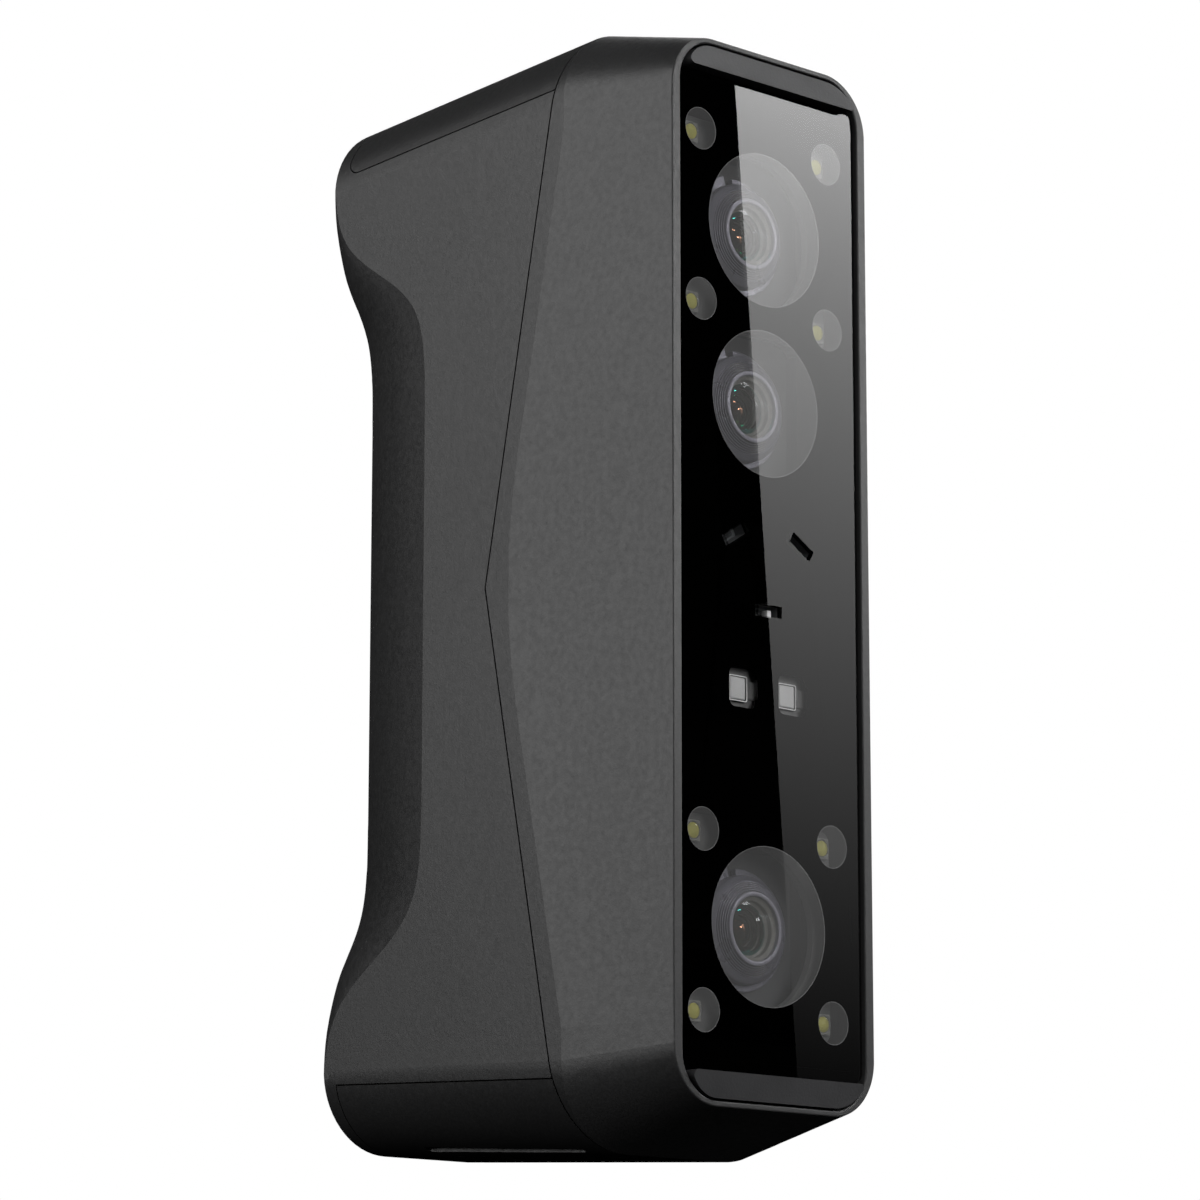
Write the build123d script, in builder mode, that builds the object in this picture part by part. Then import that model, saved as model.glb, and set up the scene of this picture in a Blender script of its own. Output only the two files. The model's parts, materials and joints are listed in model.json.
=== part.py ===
from build123d import *

import math
import os

# Handheld structured-light scanner.  Millimetres, +Z up, sensors looking along -Y.
# The origin is at the middle of the base, under the centre of the body.

# ---------------------------------------------------------------- body
HEIGHT = 190.0               # over the two end ridges
MID_Z = HEIGHT / 2           # the body is symmetric about this height
GLASS_Y = -40.9              # front face plane of the sensor window

# Depths are measured backwards from GLASS_Y, and "level" is a height from MID_Z.
RIM_DEPTH = -1.1             # the rim stands proud of the glass
RIM_HALF_WIDTH = 23.15
RIM_HALF_HEIGHT = 88.7
RIM_CORNER = 9.6
RIM_ROUND = 0.25
RIDGE_DEPTH = 22.2           # widest and tallest section
RIDGE_HALF_WIDTH = 25.8
RIDGE_CORNER = 14.4
BACK_DEPTH = 84.0
BACK_HALF_WIDTH = 23.65
BACK_HALF_HEIGHT = 91.85
BACK_CORNER = 14.0
JOIN_DEPTH = 50.0            # the front form runs on to here, inside the rear one

SEAM_APEX = 41.75            # parting line: a V along each side, deepest at mid height
SEAM_SLOPE = 0.207
SEAM_RADIUS = 73.0
SEAM_GAP = 0.34
CREASE_APEX = 38.3           # crease in front of the parting line
CREASE_SLOPE = 0.2135
CREASE_RADIUS = 103.0

FRONT_WALL = 2.4
REAR_WALL = 3.4
LIP_LENGTH = 2.0
LIP_CLEARANCE = 0.1

# ---------------------------------------------------------------- grip scoop
GRIP_EDGE = 58.2             # depth of the scoop's edge on the side wall
GRIP_EDGE_RISE = 26.0        # how far that edge runs back towards the ends
GRIP_FLARE_LEVEL = 60.5      # level of the steepest part of the flare
GRIP_FLARE_LENGTH = 4.2
GRIP_STRAIGHT = 35.0         # the grip is straight between these levels
GRIP_BACK = 82.5
GRIP_BACK_RISE = 4.0
GRIP_CORNER = 11.7           # width of the rounded corner behind the edge
GRIP_LEAN = 8.0              # degrees between the edge's tangent and the side wall
GRIP_STEP = 4.0

# ---------------------------------------------------------------- sensor window
RECESS_HALF_WIDTH = 21.2
RECESS_HALF_HEIGHT = 87.8
RECESS_CORNER = 7.7
GLASS_HALF_WIDTH = 21.0
GLASS_HALF_HEIGHT = 82.85
GLASS_CORNER = 1.8
GLASS_FRONT = -0.3
GLASS_THICK = 0.7
MASK_THICK = 0.3
MASK_FRONT = GLASS_FRONT + GLASS_THICK
LEDGE_FRONT = MASK_FRONT + MASK_THICK
LEDGE_THICK = 2.6
APERTURE_HALF_WIDTH = 19.4
APERTURE_HALF_HEIGHT = 80.0
BUMPER_EDGE = 83.15          # level of a bumper's straight inner edge
BUMPER_PROUD = 2.2
BUMPER_GAP = 0.4
BUMPER_CORNER = 0.8

# ---------------------------------------------------------------- sensors
CAMERA_LEVELS = {"upper": 58.7, "middle": 28.8, "lower": -58.7}
WINDOW_RADII = {"upper": 13.2, "middle": 12.5, "lower": 13.2}
BARREL_RADIUS = 9.0
BARREL_DEPTH = 5.4
BARREL_BACK = 19.0
NOSE_RADIUS = 6.3
NOSE_DEPTH = 3.4
NOSE_STEPS = 6
LENS_RADIUS = 5.3
LENS_BULGE = 1.7
LENS_SEAT = 1.2
FLANGE_SIZE = 26.5
FLANGE_DEPTH = 8.5
BLOCK_SIZE = 20.0
LIGHT_BORE = 6.5
SENSOR_BOARD_SIZE = 24.0
SENSOR_BOARD_DEPTH = 24.0

LED_X = 15.0
LED_Z = 14.6
LED_WINDOW_RADIUS = 3.6
LED_BASE = 3.5
LED_BASE_THICK = 0.8
LED_DOME_RADIUS = 1.6
LED_BOARD_DEPTH = 3.6
LED_BOARD_SIZE = 35.2
LED_BOARD_HOLE = 13.6
BOARD_THICK = 1.2
SPACER_X = 15.8
SPACER_Z = 15.9
SPACER_RADIUS = 1.5

LASERS = {"left": (-7.6, 5.45, 31.0), "right": (7.6, 5.45, -31.0), "lower": (0.0, -6.45, 0.0)}
SLOT_LENGTH = 5.5
SLOT_WIDTH = 2.0
LASER_RADIUS = 3.9
LASER_DEPTH = 2.6
LASER_LENGTH = 18.0
LINE_LENS_THICK = 1.0

EMITTER_X = 5.75
EMITTER_LEVEL = -19.85
EMITTER_WINDOW = (6.3, 6.7)
EMITTER_NOTCH = (1.1, 3.4)
EMITTER_CORNER = 1.3
EMITTER_SIZE = 4.3
EMITTER_DEPTH = 1.4
EMITTER_BOARD_DEPTH = 3.0
EMITTER_SPACER_X = 10.0

# ---------------------------------------------------------------- inside
BENCH_DEPTH = 12.5
BENCH_THICK = 2.5
BENCH_HALF_WIDTH = 20.0
BENCH_HALF_HEIGHT = 86.0
BOSS_X = 13.5
BOSS_LEVEL = 82.9
BOSS_RADIUS = 2.7
SCREW_RADIUS = 1.0
SCREW_HOLE = 1.05
SCREW_HEAD = 1.9
HEAD_THICK = 1.2

MAIN_BOARD_DEPTH = 34.0
MAIN_BOARD_HALF_WIDTH = 19.5
MAIN_BOARD_LEVELS = (-66.0, 78.0)
STANDOFF_X = 17.2
STANDOFF_LEVELS = (-60.0, 72.0)
STANDOFF_RADIUS = 2.0
SINK_LEVELS = (-64.0, -24.0)
SINK_HALF_WIDTH = 13.5
SINK_HEIGHT = 12.5
SINK_FINS = 7
FIN_THICK = 1.2
CHIP_THICK = 1.2
PAD_THICK = 0.6

FAN_DEPTH = 46.0
FAN_SIZE = 30.0
FAN_THICK = 8.0
FAN_LEVEL = -76.0
FAN_DUCT_RADIUS = 14.0
FAN_BLADES = 7
FAN_HUB_RADIUS = 7.0
FAN_TIP_RADIUS = 13.2
BLADE_CHORD = 6.0
BLADE_PITCH = 35.0
BRACKET_THICK = 1.2

CELL_RADIUS = 9.15
CELL_LENGTH = 65.0
CELL_DEPTH = 62.0
CELL_X = 9.6
CRADLE_DEPTH = 50.0
CRADLE_THICK = 9.0

# ---------------------------------------------------------------- end covers
COVER_THICK = 1.8
COVER_GAP = 0.26             # around the cover's edge
COVER_EDGE = 83.3            # level of the cover's edge at the ridge
COVER_EDGE_SLOPE = 0.048
COVER_END = 81.0
COVER_END_RADIUS = 3.2
LUG_X = 10.0
LUG_DEPTH = 25.2
LUG_TOP = 90.6
LUG_THICK = 4.0
LUG_LENGTH = 18.7
END_SCREW_SEAT = 92.15
END_HEAD_RADIUS = 2.0
END_HEAD_THICK = 0.7

PORT_DEPTH = 48.0
PORT_RADIUS = 6.8
PORT_WALL = 1.2
PORT_FLOOR = -88.0           # level of the floor of the port's recess
USB_WIDTH = 9.0
USB_HEIGHT = 3.3
USB_CAVITY = 6.5
USB_BOARD_LEVEL = -80.0
PILLAR_X = 10.6
PILLAR_RADIUS = 1.8
VENT_X = (3.0, 9.0, 15.0)
VENT_WIDTH = 1.8
VENT_FRONT = 28.0
VENT_BACK = 73.4
VENT_CURVE = 0.028           # the outer slots end sooner
VENT_KEEPOUT = 10.5
FOOT_CUT = 0.04

# ---------------------------------------------------------------- controls
PANEL_WIDTH = 20.0
PANEL_LENGTH = 84.0
PANEL_THICK = 1.2
PANEL_SINK = 0.25
PANEL_LEDGE = 1.5
PANEL_BACK = GRIP_BACK - PANEL_SINK
PANEL_FRONT = PANEL_BACK - PANEL_THICK
POST_LEVEL = 36.5
POST_RADIUS = 2.0
BUTTON_CLEARANCE = 0.25
BUTTON_BOARD_DEPTH = 76.0
SWITCH_SIZE = 4.2
SWITCH_HEIGHT = 0.9
STEM_DEPTH = 79.0            # leaves 0.9 of travel above the switches
FLANGE_THICK = 0.85
# name: level, radius, height above the panel
BUTTONS = {
    "scan_button": (0.0, 6.6, 1.2),
    "plus_button": (16.0, 4.6, 0.8),
    "minus_button": (-16.0, 4.6, 0.8),
    "power_button": (-29.0, 3.0, 0.5),
}
LIGHT_LEVEL = 30.0
LIGHT_SIZE = (8.0, 2.0)


# ---------------------------------------------------------------- planes and forms
def across(depth):
    """Plane facing forwards at a depth; sketch x is X and sketch y is Z."""
    return Plane.XZ.offset(-(GLASS_Y + depth))


def at_level(level):
    """Horizontal plane at a level."""
    return Plane.XY.offset(MID_Z + level)


def section_behind_ridge(depth):
    """Half width, half height and corner radius of the body behind its ridge."""
    share = (depth - RIDGE_DEPTH) / (BACK_DEPTH - RIDGE_DEPTH)
    return (
        RIDGE_HALF_WIDTH + share * (BACK_HALF_WIDTH - RIDGE_HALF_WIDTH),
        MID_Z + share * (BACK_HALF_HEIGHT - MID_Z),
        RIDGE_CORNER + share * (BACK_CORNER - RIDGE_CORNER),
    )


def rounded_plate(half_width, half_height, corner, level=0.0):
    """Rounded rectangle on an across() plane, centred at a level."""
    with Locations((0, MID_Z + level)):
        RectangleRounded(2 * half_width, 2 * half_height, corner)


def body_section(depth, half_width, half_height, corner, inset):
    """Cross-section of the body at a depth, drawn in by an inset."""
    with BuildSketch(across(depth)) as section:
        rounded_plate(half_width - inset, half_height - inset, corner - inset)
    return section.sketch


def crease_depth(level):
    """Depth of the side crease: a V with its point rounded."""
    angle = math.atan(CREASE_SLOPE)
    if abs(level) < CREASE_RADIUS * math.sin(angle):
        centre = CREASE_APEX - CREASE_RADIUS / math.cos(angle)
        return centre + math.sqrt(CREASE_RADIUS**2 - level**2)
    return CREASE_APEX - CREASE_SLOPE * abs(level)


def front_form(inset=0.0):
    """Body in front of JOIN_DEPTH: flared ends and creased sides."""
    crease_end = (CREASE_APEX - RIDGE_DEPTH) / CREASE_SLOPE
    levels = (-crease_end, -21.0, -14.0, -7.0, 0.0, 7.0, 14.0, 21.0, crease_end)
    join = section_behind_ridge(JOIN_DEPTH)
    sections = [
        body_section(RIM_DEPTH, RIM_HALF_WIDTH, RIM_HALF_HEIGHT, RIM_CORNER, inset),
        body_section(RIDGE_DEPTH, RIDGE_HALF_WIDTH, MID_Z, RIDGE_CORNER, inset),
        body_section(JOIN_DEPTH, *join, inset),
    ]
    with BuildPart() as ends:
        loft(sections, ruled=True)
        with BuildSketch(Plane.YZ):
            with Locations((0, MID_Z)):
                Rectangle(2 * HEIGHT, 2 * crease_end)
        extrude(amount=HEIGHT, both=True, mode=Mode.SUBTRACT)
    with BuildPart() as form:
        for level in levels:
            crease = crease_depth(level)
            half = [
                (RIM_HALF_WIDTH - inset, GLASS_Y + RIM_DEPTH),
                (section_behind_ridge(crease)[0] - inset, GLASS_Y + crease),
                (join[0] - inset, GLASS_Y + JOIN_DEPTH),
            ]
            with BuildSketch(at_level(level)):
                with BuildLine():
                    Polyline(*half, *[(-x, y) for x, y in reversed(half)], close=True)
                make_face()
        loft(ruled=True)
        add(ends.part)
    return form.part


def grip_section(level, inset):
    """Outline of the grip at a level, wider than the body in front of its edge."""
    flare = 1 / (1 + math.exp((GRIP_FLARE_LEVEL - abs(level)) / GRIP_FLARE_LENGTH))
    edge = GRIP_EDGE + GRIP_EDGE_RISE * flare
    corner = GRIP_CORNER - 17.0 * flare + 11.0 * flare**2
    lean = math.radians(GRIP_LEAN)
    x_edge = section_behind_ridge(edge)[0] - inset
    y_edge = GLASS_Y + edge - inset
    y_back = GLASS_Y + GRIP_BACK + GRIP_BACK_RISE * flare - inset
    quarter = 0.5523
    reach = quarter * (y_back - y_edge)
    x_front = x_edge + (y_edge - GLASS_Y) * math.tan(lean)
    x_flat = x_edge - corner
    with BuildSketch(at_level(level)) as section:
        with BuildLine():
            for side in (1, -1):
                Line((side * x_front, GLASS_Y), (side * x_edge, y_edge))
                Bezier(
                    (side * x_edge, y_edge),
                    (side * (x_edge - reach * math.sin(lean)), y_edge + reach * math.cos(lean)),
                    (side * (x_flat + quarter * corner), y_back),
                    (side * x_flat, y_back),
                )
            Line((x_flat, y_back), (-x_flat, y_back))
            Line((-x_front, GLASS_Y), (x_front, GLASS_Y))
        make_face()
    return section.sketch


def rear_form(inset=0.0):
    """Body behind the ridge, with the grip scooped out of its sides and back."""
    start = RIDGE_DEPTH - 4.0
    flare_steps = int((MID_Z + 6.0 - GRIP_STRAIGHT) / GRIP_STEP) + 1
    with BuildPart() as grip:
        loft([grip_section(-GRIP_STRAIGHT, inset), grip_section(GRIP_STRAIGHT, inset)], ruled=True)
        for end in (1, -1):
            levels = [end * (GRIP_STRAIGHT + step * GRIP_STEP) for step in range(flare_steps)]
            loft([grip_section(level, inset) for level in levels])
    with BuildPart() as form:
        loft(
            [
                body_section(start, *section_behind_ridge(start), inset),
                body_section(BACK_DEPTH - inset, *section_behind_ridge(BACK_DEPTH), inset),
            ],
            ruled=True,
        )
        add(grip.part, mode=Mode.INTERSECT)
    return form.part


def ahead_of_seam(shift=0.0):
    """Everything in front of the parting line, moved back by a shift."""
    reach = 2 * HEIGHT
    apex = GLASS_Y + SEAM_APEX + shift
    end = apex - SEAM_SLOPE * reach
    with BuildPart() as block:
        with BuildSketch(Plane.YZ) as profile:
            with BuildLine():
                Polyline(
                    (apex, MID_Z),
                    (end, MID_Z + reach),
                    (-reach, MID_Z + reach),
                    (-reach, MID_Z - reach),
                    (end, MID_Z - reach),
                    close=True,
                )
            make_face()
            fillet(profile.vertices().sort_by(Axis.Y)[-1], radius=SEAM_RADIUS)
        extrude(amount=HEIGHT, both=True)
    return block.part


def cover_zone(end, gap):
    """Zone taken by an end cover (end is 1 above, -1 below), shrunk by a gap."""
    start = RIDGE_DEPTH - 10.0
    start_level = COVER_EDGE + COVER_EDGE_SLOPE * 10.0 + gap
    end_level = COVER_EDGE - COVER_EDGE_SLOPE * (COVER_END - RIDGE_DEPTH) + gap
    y_end = GLASS_Y + COVER_END - gap
    with BuildPart() as zone:
        with BuildSketch(Plane.YZ) as profile:
            with BuildLine():
                Polyline(
                    (GLASS_Y + start, MID_Z + end * start_level),
                    (y_end, MID_Z + end * end_level),
                    (y_end, MID_Z + end * HEIGHT),
                    (GLASS_Y + start, MID_Z + end * HEIGHT),
                    close=True,
                )
            make_face()
            corner = (0, y_end, MID_Z + end * end_level)
            fillet(profile.vertices().sort_by_distance(corner)[0], radius=COVER_END_RADIUS - gap)
        extrude(amount=HEIGHT, both=True)
    return zone.part


def finish(builder, name):
    """Label a finished sub-part and write it."""
    builder.part.label = name
    export_step(builder.part, f"parts/{name}.step")


def plate(depth, thick, half_width, half_height, corner, level=0.0, mode=Mode.ADD):
    """Flat rounded plate whose front face is at a depth."""
    with BuildSketch(across(depth)) as outline:
        rounded_plate(half_width, half_height, corner, level)
    extrude(outline.sketch, amount=-thick, mode=mode)


def discs(depth, thick, radius, points, mode=Mode.ADD):
    """Round discs or holes at (x, level) points, starting at a depth and running back."""
    with BuildSketch(across(depth)) as circles:
        with Locations(*[(x, MID_Z + level) for x, level in points]):
            Circle(radius)
    extrude(circles.sketch, amount=-thick, mode=mode)


def plate_at(x, level, depth, thick, width, height, turn=0.0, mode=Mode.ADD):
    """Rectangular block or pocket at a point, starting at a depth and running back."""
    with BuildSketch(across(depth)) as outline:
        with Locations((x, MID_Z + level)):
            Rectangle(width, height, rotation=turn)
    extrude(outline.sketch, amount=-thick, mode=mode)


def front_hollow():
    """Space inside the front shell, behind the ledge that carries the window."""
    with BuildPart() as hollow:
        add(front_form(FRONT_WALL))
        with BuildSketch(across(LEDGE_FRONT + LEDGE_THICK)):
            Rectangle(4 * HEIGHT, 4 * HEIGHT)
        extrude(amount=HEIGHT, mode=Mode.SUBTRACT)
    return hollow.part


def seam_lip():
    """Tongue of the rear shell that slides inside the front shell."""
    with BuildPart() as lip:
        add(front_form(FRONT_WALL + LIP_CLEARANCE))
        add(ahead_of_seam(LIP_LENGTH), mode=Mode.INTERSECT)
        add(ahead_of_seam(-LIP_LENGTH), mode=Mode.SUBTRACT)
    return lip.part


def cover_skin(end, gap):
    """Outer skin of an end, as thick as its cover and shrunk at the edge by a gap."""
    with BuildPart() as skin:
        add(outer_rear)
        add(cover_core, mode=Mode.SUBTRACT)
        add(cover_zone(end, gap), mode=Mode.INTERSECT)
        add(ahead_of_seam(SEAM_GAP), mode=Mode.SUBTRACT)
    return skin.part


outer_rear = rear_form()
cover_core = rear_form(COVER_THICK)
inner_rear = rear_form(REAR_WALL)
boss_points = [(x, level) for x in (-BOSS_X, BOSS_X) for level in (-BOSS_LEVEL, BOSS_LEVEL)]
standoff_points = [(x, level) for x in (-STANDOFF_X, STANDOFF_X) for level in STANDOFF_LEVELS]
lug_spots = [(x, GLASS_Y + LUG_DEPTH) for x in (-LUG_X, LUG_X)]
laser_points = [(x, level) for x, level, turn in LASERS.values()]
lit_cameras = ("upper", "lower")


def around_camera(name, x, level):
    """Four points set out square around a camera."""
    centre = CAMERA_LEVELS[name]
    return [(sx * x, centre + sz * level) for sx in (-1, 1) for sz in (-1, 1)]


os.makedirs("parts", exist_ok=True)


# ---------------------------------------------------------------- front shell
with BuildPart() as front_shell:
    add(front_form())
    add(ahead_of_seam(), mode=Mode.INTERSECT)
    add(front_hollow(), mode=Mode.SUBTRACT)
    plate(
        -LEDGE_THICK, LEDGE_THICK + LEDGE_FRONT, RECESS_HALF_WIDTH, RECESS_HALF_HEIGHT,
        RECESS_CORNER, mode=Mode.SUBTRACT,
    )
    plate(
        LEDGE_FRONT, 2 * LEDGE_THICK, APERTURE_HALF_WIDTH, APERTURE_HALF_HEIGHT, 3.0,
        mode=Mode.SUBTRACT,
    )
    boss_start = LEDGE_FRONT + LEDGE_THICK / 2
    discs(boss_start, BENCH_DEPTH - boss_start, BOSS_RADIUS, boss_points)
    discs(boss_start + 2.0, BENCH_DEPTH, SCREW_HOLE, boss_points, mode=Mode.SUBTRACT)
    for end in (1, -1):
        # lugs that take the screws of the rear shell
        with BuildSketch(at_level(end * LUG_TOP)):
            with Locations(*[(x, y + 3.5 - LUG_LENGTH / 2) for x, y in lug_spots]):
                Rectangle(7.0, LUG_LENGTH)
        extrude(amount=-end * LUG_THICK)
        with BuildSketch(at_level(end * LUG_TOP)):
            with Locations(*lug_spots):
                Circle(SCREW_HOLE)
        extrude(amount=-end * LUG_THICK, mode=Mode.SUBTRACT)
    rim_edges = front_shell.edges().group_by(Axis.Y)[0]
    fillet(rim_edges, radius=RIM_ROUND)
finish(front_shell, "front_shell")


# ---------------------------------------------------------------- rear shell
with BuildPart() as rear_shell:
    add(outer_rear)
    add(ahead_of_seam(SEAM_GAP), mode=Mode.SUBTRACT)
    add(seam_lip())
    add(inner_rear, mode=Mode.SUBTRACT)
    for end in (1, -1):
        add(cover_skin(end, 0.0), mode=Mode.SUBTRACT)
        # holes of the end screws, sunk for their heads
        with BuildSketch(at_level(end * (LUG_TOP - 1.0))):
            with Locations(*lug_spots):
                Circle(SCREW_HOLE)
        extrude(amount=end * 5.0, mode=Mode.SUBTRACT)
        with BuildSketch(at_level(end * END_SCREW_SEAT)):
            with Locations(*lug_spots):
                Circle(END_HEAD_RADIUS + 0.1)
        extrude(amount=end * 3.0, mode=Mode.SUBTRACT)
    # opening over the vents and the port
    with BuildSketch(at_level(-HEIGHT)):
        with Locations((0, GLASS_Y + (VENT_FRONT + VENT_BACK) / 2)):
            Rectangle(2 * VENT_X[-1] + 5.0, VENT_BACK - VENT_FRONT + 3.0)
    extrude(amount=MID_Z + 20.0, mode=Mode.SUBTRACT)
    # pocket and opening for the button panel
    for depth, inset in ((PANEL_FRONT, 0.0), (PANEL_FRONT - 5.0, PANEL_LEDGE)):
        with BuildSketch(across(depth)):
            with Locations((0, MID_Z)):
                SlotOverall(PANEL_LENGTH - 2 * inset, PANEL_WIDTH - 2 * inset, rotation=90)
        extrude(amount=-10.0, mode=Mode.SUBTRACT)
finish(rear_shell, "rear_shell")


# ---------------------------------------------------------------- end covers
with BuildPart() as top_cover:
    add(cover_skin(1, COVER_GAP))
finish(top_cover, "top_cover")


def vent_slots():
    """X, start depth and end depth of each vent slot, kept clear of the port."""
    slots = []
    for x in VENT_X:
        spans = [(VENT_FRONT, VENT_BACK - VENT_CURVE * x**2)]
        if x < VENT_KEEPOUT:
            half = math.sqrt(VENT_KEEPOUT**2 - x**2)
            spans = [(VENT_FRONT, PORT_DEPTH - half), (PORT_DEPTH + half, spans[0][1])]
        slots += [(side * x, start, stop) for side in (-1, 1) for start, stop in spans]
    return slots


foot_slope = (MID_Z - BACK_HALF_HEIGHT) / (BACK_DEPTH - RIDGE_DEPTH)
foot_plane = Plane(
    origin=(0, GLASS_Y + PORT_DEPTH, foot_slope * (PORT_DEPTH - RIDGE_DEPTH) + FOOT_CUT),
    x_dir=(1, 0, 0),
    z_dir=(0, -foot_slope, 1),
)
with BuildPart() as bottom_cover:
    add(cover_skin(-1, COVER_GAP))
    # flat face that the scanner stands on
    split(bisect_by=foot_plane, keep=Keep.TOP)
    # recess of the port, and pillars for its board
    with BuildSketch(at_level(PORT_FLOOR + PORT_WALL)):
        with Locations((0, GLASS_Y + PORT_DEPTH)):
            Circle(PORT_RADIUS + PORT_WALL)
    extrude(amount=-6.0)
    with BuildSketch(at_level(USB_BOARD_LEVEL)):
        with Locations((-PILLAR_X, GLASS_Y + PORT_DEPTH), (PILLAR_X, GLASS_Y + PORT_DEPTH)):
            Circle(PILLAR_RADIUS)
    extrude(amount=-12.6)
    with BuildSketch(at_level(PORT_FLOOR)):
        with Locations((0, GLASS_Y + PORT_DEPTH)):
            Circle(PORT_RADIUS)
    extrude(amount=-10.0, mode=Mode.SUBTRACT)
    with BuildSketch(at_level(PORT_FLOOR)):
        with Locations((0, GLASS_Y + PORT_DEPTH)):
            SlotOverall(USB_WIDTH, USB_HEIGHT)
    extrude(amount=PORT_WALL, mode=Mode.SUBTRACT)
    with BuildSketch(at_level(-MID_Z - 1.0)):
        for x, start, stop in vent_slots():
            with Locations((x, GLASS_Y + (start + stop) / 2)):
                SlotOverall(stop - start, VENT_WIDTH, rotation=90)
    extrude(amount=8.0, mode=Mode.SUBTRACT)
finish(bottom_cover, "bottom_cover")

with BuildPart() as end_screws:
    for end in (1, -1):
        with BuildSketch(at_level(end * END_SCREW_SEAT)):
            with Locations(*lug_spots):
                Circle(END_HEAD_RADIUS)
        extrude(amount=end * END_HEAD_THICK)
        with BuildSketch(at_level(end * END_SCREW_SEAT)):
            with Locations(*lug_spots):
                Circle(SCREW_RADIUS)
        extrude(amount=-end * (END_SCREW_SEAT - LUG_TOP + LUG_THICK))
finish(end_screws, "end_screws")


# ---------------------------------------------------------------- port
with BuildPart() as usb_board:
    with BuildSketch(at_level(USB_BOARD_LEVEL)):
        with Locations((0, GLASS_Y + PORT_DEPTH)):
            RectangleRounded(2 * PILLAR_X + 5.0, 14.0, 1.5)
    extrude(amount=BOARD_THICK)
finish(usb_board, "usb_board")

with BuildPart() as usb_socket:
    with BuildSketch(at_level(PORT_FLOOR)):
        with Locations((0, GLASS_Y + PORT_DEPTH)):
            SlotOverall(USB_WIDTH, USB_HEIGHT)
    extrude(amount=USB_BOARD_LEVEL - PORT_FLOOR)
    with BuildSketch(at_level(PORT_FLOOR)):
        with Locations((0, GLASS_Y + PORT_DEPTH)):
            SlotOverall(USB_WIDTH - 0.7, USB_HEIGHT - 0.7)
            Rectangle(USB_WIDTH - 2.3, 0.7, mode=Mode.SUBTRACT)
    extrude(amount=USB_CAVITY, mode=Mode.SUBTRACT)
finish(usb_socket, "usb_socket")


# ---------------------------------------------------------------- window
with BuildPart() as front_glass:
    plate(GLASS_FRONT, GLASS_THICK, GLASS_HALF_WIDTH, GLASS_HALF_HEIGHT, GLASS_CORNER)
    # the laser lines leave through slots in the glass
    for x, level, turn in LASERS.values():
        plate_at(x, level, GLASS_FRONT, GLASS_THICK, SLOT_LENGTH, SLOT_WIDTH, turn, Mode.SUBTRACT)
finish(front_glass, "front_glass")

with BuildPart() as window_mask:
    plate(
        MASK_FRONT, MASK_THICK, RECESS_HALF_WIDTH - 0.1, RECESS_HALF_HEIGHT - 0.1,
        RECESS_CORNER - 0.1,
    )
    for name, radius in WINDOW_RADII.items():
        discs(MASK_FRONT, MASK_THICK, radius, [(0, CAMERA_LEVELS[name])], mode=Mode.SUBTRACT)
    for name in lit_cameras:
        discs(
            MASK_FRONT, MASK_THICK, LED_WINDOW_RADIUS, around_camera(name, LED_X, LED_Z),
            mode=Mode.SUBTRACT,
        )
    with BuildSketch(across(MASK_FRONT)):
        for x, level, turn in LASERS.values():
            with Locations((x, MID_Z + level)):
                Rectangle(SLOT_LENGTH, SLOT_WIDTH, rotation=turn)
        with Locations(*[(x, MID_Z + EMITTER_LEVEL) for x in (-EMITTER_X, EMITTER_X)]):
            RectangleRounded(*EMITTER_WINDOW, EMITTER_CORNER)
            with Locations((EMITTER_WINDOW[0] / 2, 0)):
                Rectangle(*EMITTER_NOTCH)
    extrude(amount=-MASK_THICK, mode=Mode.SUBTRACT)
finish(window_mask, "window_mask")


def bumper(end):
    """Wedge-faced rubber strip closing one end of the window recess."""
    with BuildPart() as strip:
        plate(
            -BUMPER_PROUD - 1.0, BUMPER_PROUD + 1.0 + MASK_FRONT,
            RECESS_HALF_WIDTH - BUMPER_GAP, RECESS_HALF_HEIGHT - BUMPER_GAP,
            RECESS_CORNER - BUMPER_GAP,
        )
        with BuildSketch(Plane.YZ):
            with BuildLine():
                Polyline(
                    (GLASS_Y + MASK_FRONT, MID_Z + end * BUMPER_EDGE),
                    (GLASS_Y - BUMPER_PROUD, MID_Z + end * BUMPER_EDGE),
                    (GLASS_Y + RIM_DEPTH, MID_Z + end * (RECESS_HALF_HEIGHT - BUMPER_GAP)),
                    (GLASS_Y + MASK_FRONT, MID_Z + end * (RECESS_HALF_HEIGHT - BUMPER_GAP)),
                    close=True,
                )
            make_face()
        extrude(amount=HEIGHT, both=True, mode=Mode.INTERSECT)
        inner_corners = strip.edges().filter_by(Axis.Y).sort_by(Axis.Z)
        fillet(inner_corners[:2] if end > 0 else inner_corners[-2:], radius=BUMPER_CORNER)
    return strip


for bumper_name, bumper_end in (("upper_bumper", 1), ("lower_bumper", -1)):
    finish(bumper(bumper_end), bumper_name)


# ---------------------------------------------------------------- optical bench
with BuildPart() as optical_bench:
    plate(BENCH_DEPTH, BENCH_THICK, BENCH_HALF_WIDTH, BENCH_HALF_HEIGHT, 8.0)
    for level in CAMERA_LEVELS.values():
        plate(
            BENCH_DEPTH, BENCH_THICK, BLOCK_SIZE / 2, BLOCK_SIZE / 2, 1.0, level,
            mode=Mode.SUBTRACT,
        )
    discs(BENCH_DEPTH, BENCH_THICK, LASER_RADIUS, laser_points, mode=Mode.SUBTRACT)
    discs(BENCH_DEPTH, BENCH_THICK, SCREW_HOLE, boss_points, mode=Mode.SUBTRACT)
finish(optical_bench, "optical_bench")

with BuildPart() as bench_screws:
    bench_back = BENCH_DEPTH + BENCH_THICK
    discs(bench_back, HEAD_THICK, SCREW_HEAD, boss_points)
    discs(bench_back - 9.0, 9.0, SCREW_RADIUS, boss_points)
finish(bench_screws, "bench_screws")

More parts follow.
